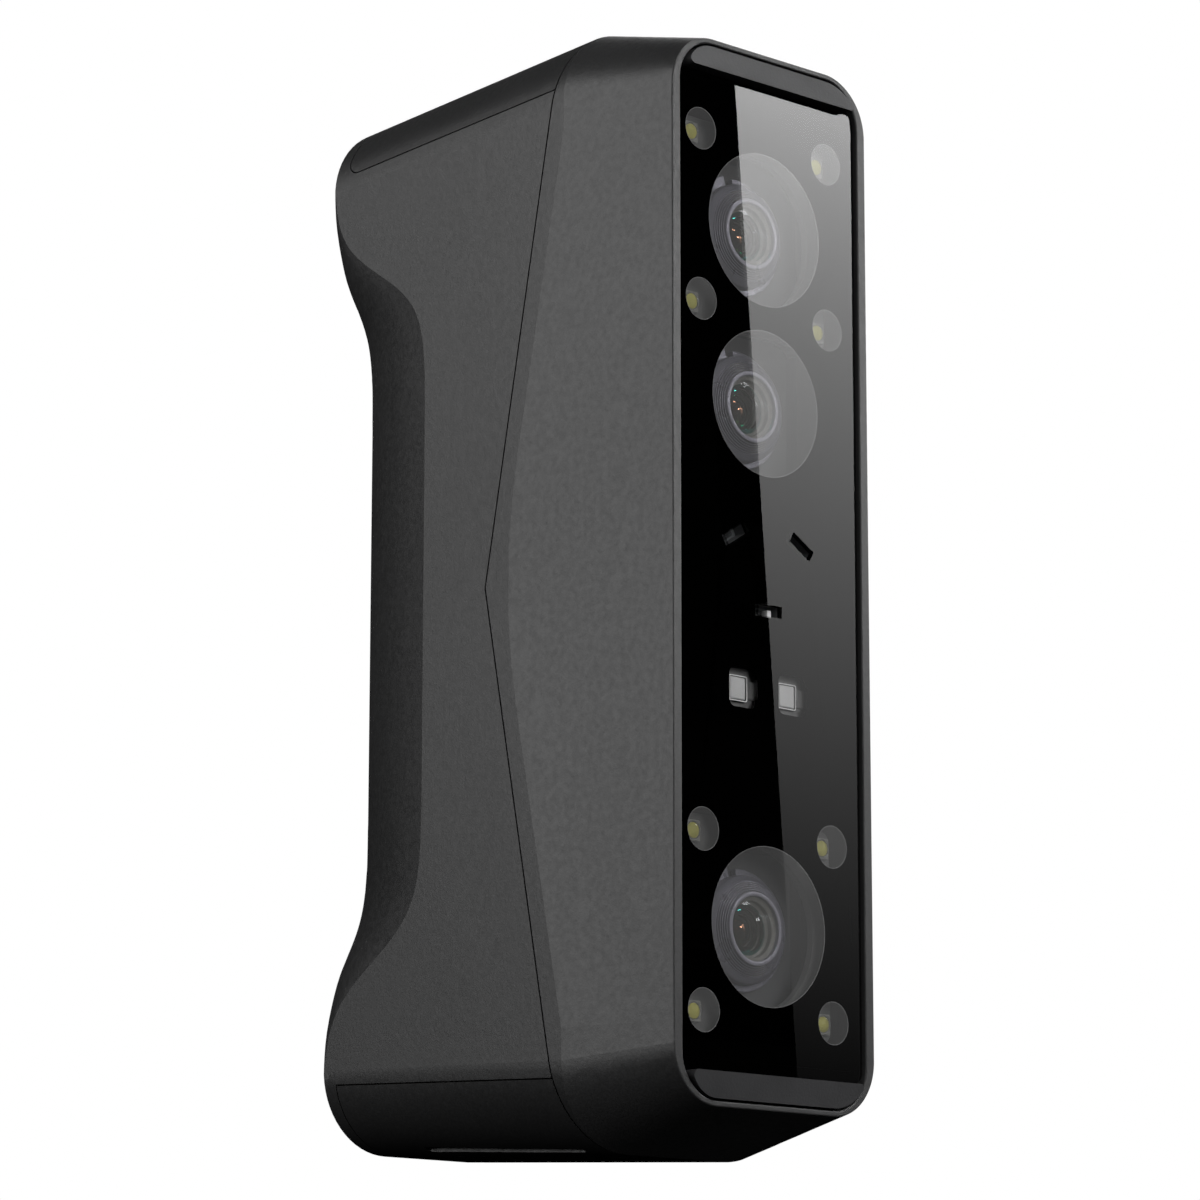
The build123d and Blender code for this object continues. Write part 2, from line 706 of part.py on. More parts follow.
with BuildPart() as standoffs:
    discs(bench_back, MAIN_BOARD_DEPTH - bench_back, STANDOFF_RADIUS, standoff_points)
    discs(MAIN_BOARD_DEPTH - 8.0, 8.0, SCREW_HOLE, standoff_points, mode=Mode.SUBTRACT)
finish(standoffs, "standoffs")

with BuildPart() as board_screws:
    discs(MAIN_BOARD_DEPTH + BOARD_THICK, HEAD_THICK, SCREW_HEAD, standoff_points)
    discs(MAIN_BOARD_DEPTH - 6.0, 6.0 + BOARD_THICK, SCREW_RADIUS, standoff_points)
finish(board_screws, "board_screws")


# ---------------------------------------------------------------- cameras
def camera_block(level):
    """Flanged block that holds a lens barrel and a sensor board."""
    with BuildPart() as block:
        plate(FLANGE_DEPTH, BENCH_DEPTH - FLANGE_DEPTH, FLANGE_SIZE / 2, FLANGE_SIZE / 2, 2.0, level)
        plate(
            BENCH_DEPTH, SENSOR_BOARD_DEPTH - BENCH_DEPTH, BLOCK_SIZE / 2, BLOCK_SIZE / 2, 1.0, level
        )
        discs(FLANGE_DEPTH, BARREL_BACK - FLANGE_DEPTH, BARREL_RADIUS, [(0, level)], Mode.SUBTRACT)
        discs(BARREL_BACK, BARREL_BACK, LIGHT_BORE, [(0, level)], Mode.SUBTRACT)
    return block


def lens_barrel(level):
    """Barrel with a nose stepped down towards the front lens."""
    with BuildPart() as barrel:
        discs(BARREL_DEPTH, BARREL_BACK - BARREL_DEPTH, BARREL_RADIUS, [(0, level)])
        for step in range(1, NOSE_STEPS + 1):
            share = step / NOSE_STEPS
            radius = BARREL_RADIUS + share * (NOSE_RADIUS - BARREL_RADIUS)
            depth = BARREL_DEPTH + share * (NOSE_DEPTH - BARREL_DEPTH)
            discs(depth, BARREL_BACK - depth, radius, [(0, level)])
        discs(NOSE_DEPTH, LENS_SEAT, LENS_RADIUS, [(0, level)], Mode.SUBTRACT)
        discs(NOSE_DEPTH, BARREL_BACK, LENS_RADIUS - 0.8, [(0, level)], Mode.SUBTRACT)
    return barrel


def front_lens(level):
    """Convex front lens seated in the barrel's nose."""
    dome_radius = (LENS_RADIUS**2 + LENS_BULGE**2) / (2 * LENS_BULGE)
    apex = GLASS_Y + NOSE_DEPTH - LENS_BULGE
    with BuildPart() as lens:
        with Locations((0, apex + dome_radius, MID_Z + level)):
            Sphere(dome_radius)
        with BuildSketch(across(NOSE_DEPTH + LENS_SEAT)) as barrel_bore:
            with Locations((0, MID_Z + level)):
                Circle(LENS_RADIUS)
        extrude(barrel_bore.sketch, amount=LENS_SEAT + LENS_BULGE, mode=Mode.INTERSECT)
    return lens


def sensor_board(level):
    """Square image sensor board behind a camera block."""
    with BuildPart() as board:
        half = SENSOR_BOARD_SIZE / 2
        plate(SENSOR_BOARD_DEPTH, BOARD_THICK, half, half, 1.0, level)
    return board


for name, level in CAMERA_LEVELS.items():
    finish(camera_block(level), f"{name}_camera_block")
    finish(lens_barrel(level), f"{name}_lens_barrel")
    finish(front_lens(level), f"{name}_front_lens")
    finish(sensor_board(level), f"{name}_sensor_board")


# ---------------------------------------------------------------- flash lights
def led_board(name):
    """Square board with a hole for the camera's barrel."""
    with BuildPart() as board:
        level = CAMERA_LEVELS[name]
        plate(LED_BOARD_DEPTH, BOARD_THICK, LED_BOARD_SIZE / 2, LED_BOARD_SIZE / 2, 2.0, level)
        discs(LED_BOARD_DEPTH, BOARD_THICK, LED_BOARD_HOLE, [(0, level)], Mode.SUBTRACT)
    return board


def domed_leds(name):
    """Four surface-mounted lamps with clear domes."""
    with BuildPart() as lamps:
        for x, level in around_camera(name, LED_X, LED_Z):
            plate_at(x, level, LED_BOARD_DEPTH - LED_BASE_THICK, LED_BASE_THICK, LED_BASE, LED_BASE)
            with Locations((x, GLASS_Y + LED_BOARD_DEPTH - LED_BASE_THICK, MID_Z + level)):
                Sphere(LED_DOME_RADIUS, arc_size1=0, rotation=(90, 0, 0))
    return lamps


for name in lit_cameras:
    finish(led_board(name), f"{name}_led_board")
    finish(domed_leds(name), f"{name}_leds")

with BuildPart() as light_spacers:
    led_board_back = LED_BOARD_DEPTH + BOARD_THICK
    for name in lit_cameras:
        corners = around_camera(name, SPACER_X, SPACER_Z)
        discs(led_board_back, BENCH_DEPTH - led_board_back, SPACER_RADIUS, corners)
    emitter_board_back = EMITTER_BOARD_DEPTH + BOARD_THICK
    emitter_corners = [(x, EMITTER_LEVEL) for x in (-EMITTER_SPACER_X, EMITTER_SPACER_X)]
    discs(emitter_board_back, BENCH_DEPTH - emitter_board_back, SPACER_RADIUS, emitter_corners)
finish(light_spacers, "light_spacers")


# ---------------------------------------------------------------- lasers and emitters
for name, (x, level, turn) in LASERS.items():
    with BuildPart() as laser:
        discs(LASER_DEPTH, LASER_LENGTH, LASER_RADIUS, [(x, level)])
        plate_at(x, level, LASER_DEPTH, 0.6, SLOT_LENGTH, SLOT_WIDTH, turn, Mode.SUBTRACT)
    finish(laser, f"{name}_laser")

with BuildPart() as laser_lenses:
    for x, level, turn in LASERS.values():
        plate_at(
            x, level, LASER_DEPTH - LINE_LENS_THICK + 0.6, LINE_LENS_THICK, SLOT_LENGTH - 1.5,
            SLOT_WIDTH, turn,
        )
finish(laser_lenses, "laser_lenses")

with BuildPart() as emitter_board:
    plate(EMITTER_BOARD_DEPTH, BOARD_THICK, 12.0, 7.0, 1.0, EMITTER_LEVEL)
finish(emitter_board, "emitter_board")

with BuildPart() as emitters:
    emitter_thick = EMITTER_BOARD_DEPTH - EMITTER_DEPTH
    for x in (-EMITTER_X, EMITTER_X):
        plate_at(x, EMITTER_LEVEL, EMITTER_DEPTH, emitter_thick, EMITTER_SIZE, EMITTER_SIZE)
        tab_x = x + EMITTER_SIZE / 2
        plate_at(tab_x, EMITTER_LEVEL, EMITTER_DEPTH + 0.8, emitter_thick - 0.8, 1.6, 1.4)
finish(emitters, "emitters")


# ---------------------------------------------------------------- electronics
with BuildPart() as main_board:
    board_centre = sum(MAIN_BOARD_LEVELS) / 2
    board_half = MAIN_BOARD_LEVELS[1] - board_centre
    plate(MAIN_BOARD_DEPTH, BOARD_THICK, MAIN_BOARD_HALF_WIDTH, board_half, 2.0, board_centre)
    discs(MAIN_BOARD_DEPTH, BOARD_THICK, SCREW_HOLE, standoff_points, mode=Mode.SUBTRACT)
finish(main_board, "main_board")

sink_centre = sum(SINK_LEVELS) / 2
with BuildPart() as processor:
    plate(MAIN_BOARD_DEPTH + BOARD_THICK, CHIP_THICK, 8.0, 8.0, 0.5, sink_centre)
finish(processor, "processor")

chip_back = MAIN_BOARD_DEPTH + BOARD_THICK + CHIP_THICK
with BuildPart() as thermal_pad:
    plate(chip_back, PAD_THICK, 7.5, 7.5, 0.5, sink_centre)
finish(thermal_pad, "thermal_pad")

with BuildPart() as heat_sink:
    sink_front = chip_back + PAD_THICK
    sink_length = SINK_LEVELS[1] - SINK_LEVELS[0]
    plate(sink_front, 2.0, SINK_HALF_WIDTH, sink_length / 2, 0.5, sink_centre)
    for fin in range(SINK_FINS):
        x = (SINK_HALF_WIDTH - FIN_THICK / 2) * (2 * fin / (SINK_FINS - 1) - 1)
        plate_at(x, sink_centre, sink_front + 1.0, SINK_HEIGHT - 1.0, FIN_THICK, sink_length)
finish(heat_sink, "heat_sink")


# ---------------------------------------------------------------- fan
with BuildPart() as fan_bracket:
    with BuildSketch(at_level(FAN_LEVEL)):
        with Locations((0, GLASS_Y + FAN_DEPTH)):
            Rectangle(3 * FAN_SIZE, FAN_SIZE + 4.0)
            Circle(FAN_DUCT_RADIUS, mode=Mode.SUBTRACT)
    extrude(amount=-BRACKET_THICK)
    add(inner_rear, mode=Mode.INTERSECT)
finish(fan_bracket, "fan_bracket")

with BuildPart() as fan_frame:
    with BuildSketch(at_level(FAN_LEVEL)):
        with Locations((0, GLASS_Y + FAN_DEPTH)):
            RectangleRounded(FAN_SIZE, FAN_SIZE, 2.0)
            Circle(FAN_DUCT_RADIUS, mode=Mode.SUBTRACT)
    extrude(amount=FAN_THICK)
    with BuildSketch(at_level(FAN_LEVEL)):
        with Locations((0, GLASS_Y + FAN_DEPTH)):
            Circle(FAN_HUB_RADIUS + 0.5)
            for spoke in range(4):
                Rectangle(2 * FAN_DUCT_RADIUS + 1.0, 1.6, rotation=45 * spoke if spoke % 2 else 0)
            Circle(SCREW_HOLE, mode=Mode.SUBTRACT)
    extrude(amount=1.0)
finish(fan_frame, "fan_frame")

with BuildPart() as fan_rotor:
    with BuildSketch(at_level(FAN_LEVEL + 1.3)):
        with Locations((0, GLASS_Y + FAN_DEPTH)):
            Circle(FAN_HUB_RADIUS)
    extrude(amount=FAN_THICK - 1.7)
    with BuildSketch(at_level(FAN_LEVEL + 0.1)):
        with Locations((0, GLASS_Y + FAN_DEPTH)):
            Circle(SCREW_RADIUS)
    extrude(amount=2.0)
    for blade in range(FAN_BLADES):
        angle = 2 * math.pi * blade / FAN_BLADES
        outwards = (math.cos(angle), math.sin(angle), 0)
        root = Plane(
            origin=(0, GLASS_Y + FAN_DEPTH, MID_Z + FAN_LEVEL + 1.3 + (FAN_THICK - 1.7) / 2),
            x_dir=(-math.sin(angle), math.cos(angle), 0),
            z_dir=outwards,
        )
        with BuildSketch(root.offset(FAN_HUB_RADIUS - 1.0)):
            Rectangle(BLADE_CHORD, 0.8, rotation=BLADE_PITCH)
        extrude(amount=FAN_TIP_RADIUS - FAN_HUB_RADIUS + 1.0)
finish(fan_rotor, "fan_rotor")


# ---------------------------------------------------------------- battery
for name, side in (("left", -1), ("right", 1)):
    with BuildPart() as battery_cell:
        with BuildSketch(at_level(-CELL_LENGTH / 2)):
            with Locations((side * CELL_X, GLASS_Y + CELL_DEPTH)):
                Circle(CELL_RADIUS)
        extrude(amount=CELL_LENGTH)
        with BuildSketch(at_level(CELL_LENGTH / 2)):
            with Locations((side * CELL_X, GLASS_Y + CELL_DEPTH)):
                Circle(3.0)
        extrude(amount=0.8)
    finish(battery_cell, f"{name}_battery_cell")

with BuildPart() as battery_cradle:
    plate(CRADLE_DEPTH, CRADLE_THICK, 20.0, CELL_LENGTH / 2 + 3.0, 1.5)
    for side in (-1, 1):
        with BuildSketch(at_level(-CELL_LENGTH / 2)):
            with Locations((side * CELL_X, GLASS_Y + CELL_DEPTH)):
                Circle(CELL_RADIUS)
        extrude(amount=CELL_LENGTH + 0.8, mode=Mode.SUBTRACT)
    leg_points = [(x, level) for x in (-17.0, 17.0) for level in (-28.0, 28.0)]
    board_back = MAIN_BOARD_DEPTH + BOARD_THICK
    discs(board_back, CRADLE_DEPTH + 1.0 - board_back, 2.2, leg_points)
finish(battery_cradle, "battery_cradle")


# ---------------------------------------------------------------- button panel
post_points = [(0, -POST_LEVEL), (0, POST_LEVEL)]
post_front = BUTTON_BOARD_DEPTH + BOARD_THICK

with BuildPart() as button_panel:
    with BuildSketch(across(PANEL_FRONT)):
        with Locations((0, MID_Z)):
            SlotOverall(PANEL_LENGTH - 0.2, PANEL_WIDTH - 0.2, rotation=90)
    extrude(amount=-PANEL_THICK)
    discs(post_front, PANEL_FRONT - post_front, POST_RADIUS, post_points)
    discs(post_front, 3.0, SCREW_HOLE, post_points, mode=Mode.SUBTRACT)
    for level, radius, proud in BUTTONS.values():
        discs(
            PANEL_FRONT, PANEL_THICK, radius + BUTTON_CLEARANCE, [(0, level)], mode=Mode.SUBTRACT
        )
    plate_at(0, LIGHT_LEVEL, PANEL_FRONT, PANEL_THICK, *LIGHT_SIZE, mode=Mode.SUBTRACT)
finish(button_panel, "button_panel")

for name, (level, radius, proud) in BUTTONS.items():
    with BuildPart() as button:
        flange_back = PANEL_FRONT - BUTTON_CLEARANCE
        discs(flange_back, PANEL_BACK + proud - flange_back, radius, [(0, level)])
        fillet(button.edges().sort_by(Axis.Y)[-1], radius=0.35)
        discs(flange_back - FLANGE_THICK, FLANGE_THICK, radius + 1.0, [(0, level)])
        discs(STEM_DEPTH, flange_back - STEM_DEPTH, 1.5, [(0, level)])
    finish(button, name)

with BuildPart() as status_light:
    plate_at(0, LIGHT_LEVEL, PANEL_FRONT, PANEL_THICK, *LIGHT_SIZE)
    plate_at(0, LIGHT_LEVEL, PANEL_FRONT - 0.8, 0.8, LIGHT_SIZE[0] + 2.0, LIGHT_SIZE[1] + 2.0)
finish(status_light, "status_light")

with BuildPart() as button_board:
    plate(BUTTON_BOARD_DEPTH, BOARD_THICK, 8.0, 39.0, 2.0)
    discs(BUTTON_BOARD_DEPTH, BOARD_THICK, SCREW_HOLE, post_points, mode=Mode.SUBTRACT)
finish(button_board, "button_board")

with BuildPart() as tact_switches:
    for level, radius, proud in BUTTONS.values():
        plate_at(0, level, post_front, SWITCH_HEIGHT, SWITCH_SIZE, SWITCH_SIZE)
finish(tact_switches, "tact_switches")

with BuildPart() as panel_screws:
    discs(BUTTON_BOARD_DEPTH - HEAD_THICK, HEAD_THICK, SCREW_HEAD, post_points)
    discs(BUTTON_BOARD_DEPTH, BOARD_THICK + 2.8, SCREW_RADIUS, post_points)
finish(panel_screws, "panel_screws")
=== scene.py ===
import json
import math

import bmesh
import bpy
from mathutils import Matrix, Quaternion, Vector


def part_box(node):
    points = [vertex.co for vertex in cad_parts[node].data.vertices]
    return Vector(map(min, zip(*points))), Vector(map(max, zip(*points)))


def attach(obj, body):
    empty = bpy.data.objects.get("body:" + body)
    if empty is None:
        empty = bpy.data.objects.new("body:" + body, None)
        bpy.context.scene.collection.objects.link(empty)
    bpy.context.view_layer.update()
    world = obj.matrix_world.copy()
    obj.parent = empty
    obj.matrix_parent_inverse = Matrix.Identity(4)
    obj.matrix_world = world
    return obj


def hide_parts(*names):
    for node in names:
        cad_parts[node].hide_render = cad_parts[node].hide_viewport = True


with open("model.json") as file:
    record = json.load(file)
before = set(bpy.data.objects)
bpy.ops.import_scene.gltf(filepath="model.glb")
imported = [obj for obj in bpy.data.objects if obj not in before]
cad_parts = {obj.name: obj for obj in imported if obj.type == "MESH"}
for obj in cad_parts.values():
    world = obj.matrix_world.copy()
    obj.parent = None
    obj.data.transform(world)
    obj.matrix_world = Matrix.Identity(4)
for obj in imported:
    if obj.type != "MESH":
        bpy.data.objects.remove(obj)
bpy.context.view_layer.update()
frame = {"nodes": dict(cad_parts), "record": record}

MM = 0.001
BODY = "scanner"
CAMERAS = ("upper", "middle", "lower")
LIT_CAMERAS = ("upper", "lower")
TURN = 2 * math.pi


# ------------------------------------------------------------------ helpers
def centre(node):
    """Middle of a CAD node's box."""
    low, high = (Vector(corner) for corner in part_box(node))
    return (low + high) / 2


def principled(material):
    return material.node_tree.nodes["Principled BSDF"]


def new_material(name, colour, roughness, metallic=0.0, **sockets):
    """Principled material; sockets are given by name with spaces as underscores."""
    material = bpy.data.materials.new(name)
    material.use_nodes = True
    shader = principled(material)
    shader.inputs["Base Color"].default_value = (*colour, 1)
    shader.inputs["Roughness"].default_value = roughness
    shader.inputs["Metallic"].default_value = metallic
    for socket, value in sockets.items():
        shader.inputs[socket.replace("_", " ")].default_value = value
    return material


def node(material, kind, **values):
    """Adds a node and sets its inputs or attributes."""
    made = material.node_tree.nodes.new(kind)
    for key, value in values.items():
        if key in made.inputs:
            made.inputs[key].default_value = value
        else:
            setattr(made, key, value)
    return made


def link(material, source, target):
    material.node_tree.links.new(source, target)


def noise(material, scale, detail):
    """Noise texture in object coordinates; scale is in features per metre."""
    place = node(material, "ShaderNodeTexCoord")
    texture = node(material, "ShaderNodeTexNoise", Scale=scale, Detail=detail)
    link(material, place.outputs["Object"], texture.inputs["Vector"])
    return texture.outputs["Fac"]


def remap(material, source, low, high, from_low=0.3, from_high=0.7):
    """Clamped linear change of range."""
    ramp = node(material, "ShaderNodeMapRange")
    ramp.inputs["From Min"].default_value = from_low
    ramp.inputs["From Max"].default_value = from_high
    ramp.inputs["To Min"].default_value = low
    ramp.inputs["To Max"].default_value = high
    link(material, source, ramp.inputs["Value"])
    return ramp.outputs["Result"]


def vary_colour(material, source, low, high):
    """Base colour between two colours, steered by a value from 0 to 1."""
    blend = node(material, "ShaderNodeMix", data_type="RGBA")
    # the Mix node numbers its factor 0, its colours 6 and 7, and its colour result 2
    blend.inputs[6].default_value = (*low, 1)
    blend.inputs[7].default_value = (*high, 1)
    link(material, source, blend.inputs[0])
    link(material, blend.outputs[2], principled(material).inputs["Base Color"])


def bump(material, source, distance, strength=1.0, after=None):
    """Bump from a height; several are chained through after."""
    shader = principled(material)
    relief = node(material, "ShaderNodeBump", Distance=distance, Strength=strength)
    link(material, source, relief.inputs["Height"])
    if after is not None:
        link(material, after.outputs["Normal"], relief.inputs["Normal"])
    link(material, relief.outputs["Normal"], shader.inputs["Normal"])
    return relief


# features per metre of the mottling, and how much coarser the uneven gloss is than the grain
MOTTLE_SCALE = 60
GLOSS_COARSER = 6


def textured(material, colour, spread, grain, grain_depth, roughness, rough_spread=0.06):
    """Colour mottling, a fine moulded or milled grain and uneven gloss."""
    shader = principled(material)
    mottle = remap(material, noise(material, MOTTLE_SCALE, 4), 0.0, 1.0)
    low = [channel * (1 - spread) for channel in colour]
    high = [channel * (1 + spread) for channel in colour]
    vary_colour(material, mottle, low, high)
    bump(material, noise(material, grain, 2), grain_depth)
    sheen = remap(
        material, noise(material, grain / GLOSS_COARSER, 3), roughness - rough_spread,
        roughness + rough_spread,
    )
    link(material, sheen, shader.inputs["Roughness"])
    return material


# ------------------------------------------------------------------ materials
# features per metre of the moulded plastic's colour and relief
SPECKLE_SCALE = 2600
CLOUD_SCALE = 25
COARSE_SCALE = 1300
FINE_SCALE = 4200
SHEEN_SCALE = 900


def moulded_plastic(name, colour, roughness):
    """Spark-eroded dark plastic: fine speckle, faint mottling and a soft sheen."""
    material = new_material(name, colour, roughness)
    shader = principled(material)
    speckle = remap(material, noise(material, SPECKLE_SCALE, 2), 0.0, 0.6, 0.35, 0.65)
    cloud = remap(material, noise(material, CLOUD_SCALE, 3), 0.0, 0.4, 0.35, 0.65)
    mixed = node(material, "ShaderNodeMath", operation="ADD")
    link(material, speckle, mixed.inputs[0])
    link(material, cloud, mixed.inputs[1])
    low = [channel * 0.75 for channel in colour]
    high = [channel * 1.25 for channel in colour]
    vary_colour(material, mixed.outputs[0], low, high)
    coarse = bump(material, noise(material, COARSE_SCALE, 2), 0.00006, 0.35)
    bump(material, noise(material, FINE_SCALE, 2), 0.00003, 0.5, after=coarse)
    sheen = remap(material, noise(material, SHEEN_SCALE, 2), roughness - 0.05, roughness + 0.05)
    link(material, sheen, shader.inputs["Roughness"])
    return material


SMEAR_SCALE = 90


def coated_glass(name, tint, alpha, roughness, ior, haze=(0.0, 0.0, 0.0)):
    """Glass that shows what is behind it and mirrors the lights in its coating's colour."""
    material = new_material(name, haze, roughness, Alpha=alpha, IOR=ior)
    shader = principled(material)
    shader.inputs["Specular Tint"].default_value = (*tint, 1)
    smear = remap(material, noise(material, SMEAR_SCALE, 2), roughness * 0.8, roughness * 1.2)
    link(material, smear, shader.inputs["Roughness"])
    return material


def is_below(material, socket, limit):
    """1 where the value is below the limit, else 0."""
    below = node(material, "ShaderNodeMath", operation="LESS_THAN")
    below.inputs[1].default_value = limit
    link(material, socket, below.inputs[0])
    return below.outputs[0]


def multiply(material, first, second):
    """Product of two outputs."""
    both = node(material, "ShaderNodeMath", operation="MULTIPLY")
    link(material, first, both.inputs[0])
    link(material, second, both.inputs[1])
    return both.outputs[0]


# share of light that the coat and the haze stop, and the haze's colour
COATING_ALPHA = 0.37
HAZE_ALPHA = 0.11
HAZE_GREY = 0.75


def window_coating(material, hazed, inner_y):
    """Mirror coat on the front face; faint haze on the back of the clear discs (x, z, radius)."""
    shader = principled(material)
    place = node(material, "ShaderNodeTexCoord")
    flat = node(material, "ShaderNodeVectorMath", operation="MULTIPLY")
    flat.inputs[1].default_value = (1, 0, 1)
    link(material, place.outputs["Object"], flat.inputs[0])
    gap = None
    for x, z, radius in hazed:
        reach = node(material, "ShaderNodeVectorMath", operation="DISTANCE")
        reach.inputs[1].default_value = (x, 0, z)
        link(material, flat.outputs["Vector"], reach.inputs[0])
        spare = node(material, "ShaderNodeMath", operation="SUBTRACT")
        spare.inputs[1].default_value = radius
        link(material, reach.outputs["Value"], spare.inputs[0])
        if gap is None:
            gap = spare.outputs[0]
        else:
            least = node(material, "ShaderNodeMath", operation="MINIMUM")
            link(material, gap, least.inputs[0])
            link(material, spare.outputs[0], least.inputs[1])
            gap = least.outputs[0]
    depth = node(material, "ShaderNodeSeparateXYZ")
    link(material, place.outputs["Object"], depth.inputs[0])
    front = is_below(material, depth.outputs["Y"], inner_y)
    haze = multiply(
        material, remap(material, front, HAZE_ALPHA, 0.0, 0.0, 1.0), is_below(material, gap, 0.0)
    )
    alpha = node(material, "ShaderNodeMath", operation="MULTIPLY_ADD")
    alpha.inputs[1].default_value = COATING_ALPHA
    link(material, front, alpha.inputs[0])
    link(material, haze, alpha.inputs[2])
    link(material, alpha.outputs[0], shader.inputs["Alpha"])
    link(material, remap(material, front, HAZE_GREY, 0.0, 0.0, 1.0), shader.inputs["Base Color"])


def turned_metal(name, colour, roughness, metallic):
    """Anodised metal with a fine grain and a slightly stretched gloss."""
    material = textured(
        new_material(name, colour, roughness, metallic), colour, 0.08, 1500, 0.000008, roughness, 0.04
    )
    principled(material).inputs["Anisotropic"].default_value = 0.3
    return material


def simple(name, colour, roughness, metallic=0.0, spread=0.12, grain=1500, depth=0.00002, **sockets):
    """Material whose mottling is given by spread and whose grain by its scale and depth."""
    made = new_material(name, colour, roughness, metallic, **sockets)
    return textured(made, colour, spread, grain, depth, roughness)


SHELL_GREY = (0.02, 0.02, 0.0203)
looks = {
    "shell_plastic": moulded_plastic("shell_plastic", SHELL_GREY, 0.38),
    "cover_plastic": moulded_plastic("cover_plastic", SHELL_GREY, 0.37),
    "panel_plastic": simple("panel_plastic", (0.008, 0.008, 0.0085), 0.22, spread=0.1),
    "button_rubber": simple("button_rubber", (0.03, 0.03, 0.031), 0.5, grain=2500, depth=0.00003),
    "bumper_rubber": simple("bumper_rubber", (0.026, 0.026, 0.027), 0.42, grain=2400, depth=0.00003),
    "black_mask": simple(
        "black_mask", (0.0004, 0.0004, 0.0004), 0.6, spread=0.3, grain=600, depth=0.000002,
        Specular_IOR_Level=0.0,
    ),
    "bench_aluminium": simple("bench_aluminium", (0.045, 0.045, 0.047), 0.45, 0.3, 0.1, 900),
    "block_aluminium": simple("block_aluminium", (0.06, 0.061, 0.063), 0.55, spread=0.1, grain=1600),
    "screw_steel": simple("screw_steel", (0.5, 0.5, 0.51), 0.3, 1.0, 0.08, 900, 0.00001),
    "spacer_plastic": simple("spacer_plastic", (0.03, 0.03, 0.03), 0.55),
    "circuit_board": simple("circuit_board", (0.012, 0.07, 0.035), 0.35, spread=0.25, grain=700),
    "led_board": simple("led_board", (0.09, 0.091, 0.09), 0.5, spread=0.15, grain=900),
    "chip_epoxy": simple("chip_epoxy", (0.02, 0.02, 0.021), 0.5, spread=0.2),
    "thermal_pad": simple("thermal_pad", (0.3, 0.34, 0.42), 0.8, spread=0.1, depth=0.00003),
    "sink_aluminium": simple("sink_aluminium", (0.4, 0.4, 0.42), 0.4, 1.0, 0.08, 700),
    "fan_plastic": simple("fan_plastic", (0.02, 0.02, 0.02), 0.45, spread=0.15),
    "cell_wrap": simple("cell_wrap", (0.05, 0.16, 0.32), 0.3, spread=0.08, grain=500),
    "cradle_plastic": simple("cradle_plastic", (0.03, 0.03, 0.032), 0.5, grain=1800),
    "light_pipe": simple(
        "light_pipe", (0.62, 0.66, 0.68), 0.35, spread=0.05, grain=900, Subsurface_Weight=0.3
    ),
    "switch_metal": simple("switch_metal", (0.5, 0.5, 0.5), 0.35, 1.0, 0.08, 900),
    "socket_steel": simple("socket_steel", (0.5, 0.5, 0.5), 0.3, 1.0, 0.1, 900, 0.00001),
    "laser_brass": simple("laser_brass", (0.05, 0.052, 0.054), 0.4, 0.4, 0.1, 900),
    "barrel_anodised": turned_metal("barrel_anodised", (0.2, 0.196, 0.235), 0.3, 0.5),
    "window_glass": coated_glass("window_glass", (1, 1, 1), COATING_ALPHA, 0.004, 2.15),
    "line_lens_glass": coated_glass("line_lens_glass", (1, 1, 1), 0.3, 0.05, 2.2),
    "led_phosphor": simple("led_phosphor", (0.42, 0.4, 0.085), 0.4, spread=0.1, grain=2500),
    "emitter_ceramic": simple("emitter_ceramic", (0.12, 0.12, 0.12), 0.4, spread=0.1),
    "lens_glass": coated_glass("lens_glass", (0.9, 0.95, 1.0), 0.07, 0.01, 3.6, (0.62, 0.62, 0.54)),
}
extra_looks = {
    "pane_edge": simple("pane_edge", (0.18, 0.18, 0.182), 0.35, spread=0.1),
    "lens_ring": turned_metal("lens_ring", (0.26, 0.255, 0.3), 0.3, 0.3),
    # black of the bore; the same dark colour is painted on the barrel's groove floors as shade
    "bore_black_and_groove_shade": simple("bore_black_and_groove_shade", (0.13, 0.127, 0.118), 0.4, spread=0.15),
    "coat_cyan": coated_glass("coat_cyan", (0.1, 1.0, 0.85), 1.0, 0.05, 3.0),
    "coat_green": coated_glass("coat_green", (0.2, 1.0, 0.45), 1.0, 0.05, 3.0),
    "coat_amber": coated_glass("coat_amber", (1.0, 0.5, 0.3), 1.0, 0.05, 3.0),
    "sensor_purple": simple("sensor_purple", (0.05, 0.02, 0.045), 0.25),
    "lamp_ceramic": simple("lamp_ceramic", (0.18, 0.18, 0.165), 0.45),
    "lamp_dome": coated_glass("lamp_dome", (1, 1, 1), 0.08, 0.05, 3.0),
    "die_bright": simple("die_bright", (0.5, 0.5, 0.5), 0.4, 0.2, 0.1, 2600),
    "die_line": simple("die_line", (0.8, 0.8, 0.8), 0.3, 0.2),
    "die_gap": simple("die_gap", (0.03, 0.03, 0.03), 0.5),
    "slot_block": simple("slot_block", (0.42, 0.42, 0.42), 0.45),
    "slot_wall": simple("slot_wall", (0.035, 0.037, 0.038), 0.4),
    "symbol_print": simple("symbol_print", (0.55, 0.55, 0.56), 0.5, spread=0.05, grain=2600),
    "contact_gold": simple("contact_gold", (0.75, 0.5, 0.2), 0.25, 1.0, 0.08, 900, 0.00001),
}
for part in frame["record"]["subparts"]:
    for held in frame["nodes"][part["node"]].material_slots:
        held.material = looks[part["material_slot"]]


# ------------------------------------------------------------------ mesh helpers
def angles(count):
    """Evenly spaced angles of a full turn."""
    return [TURN * step / count for step in range(count)]


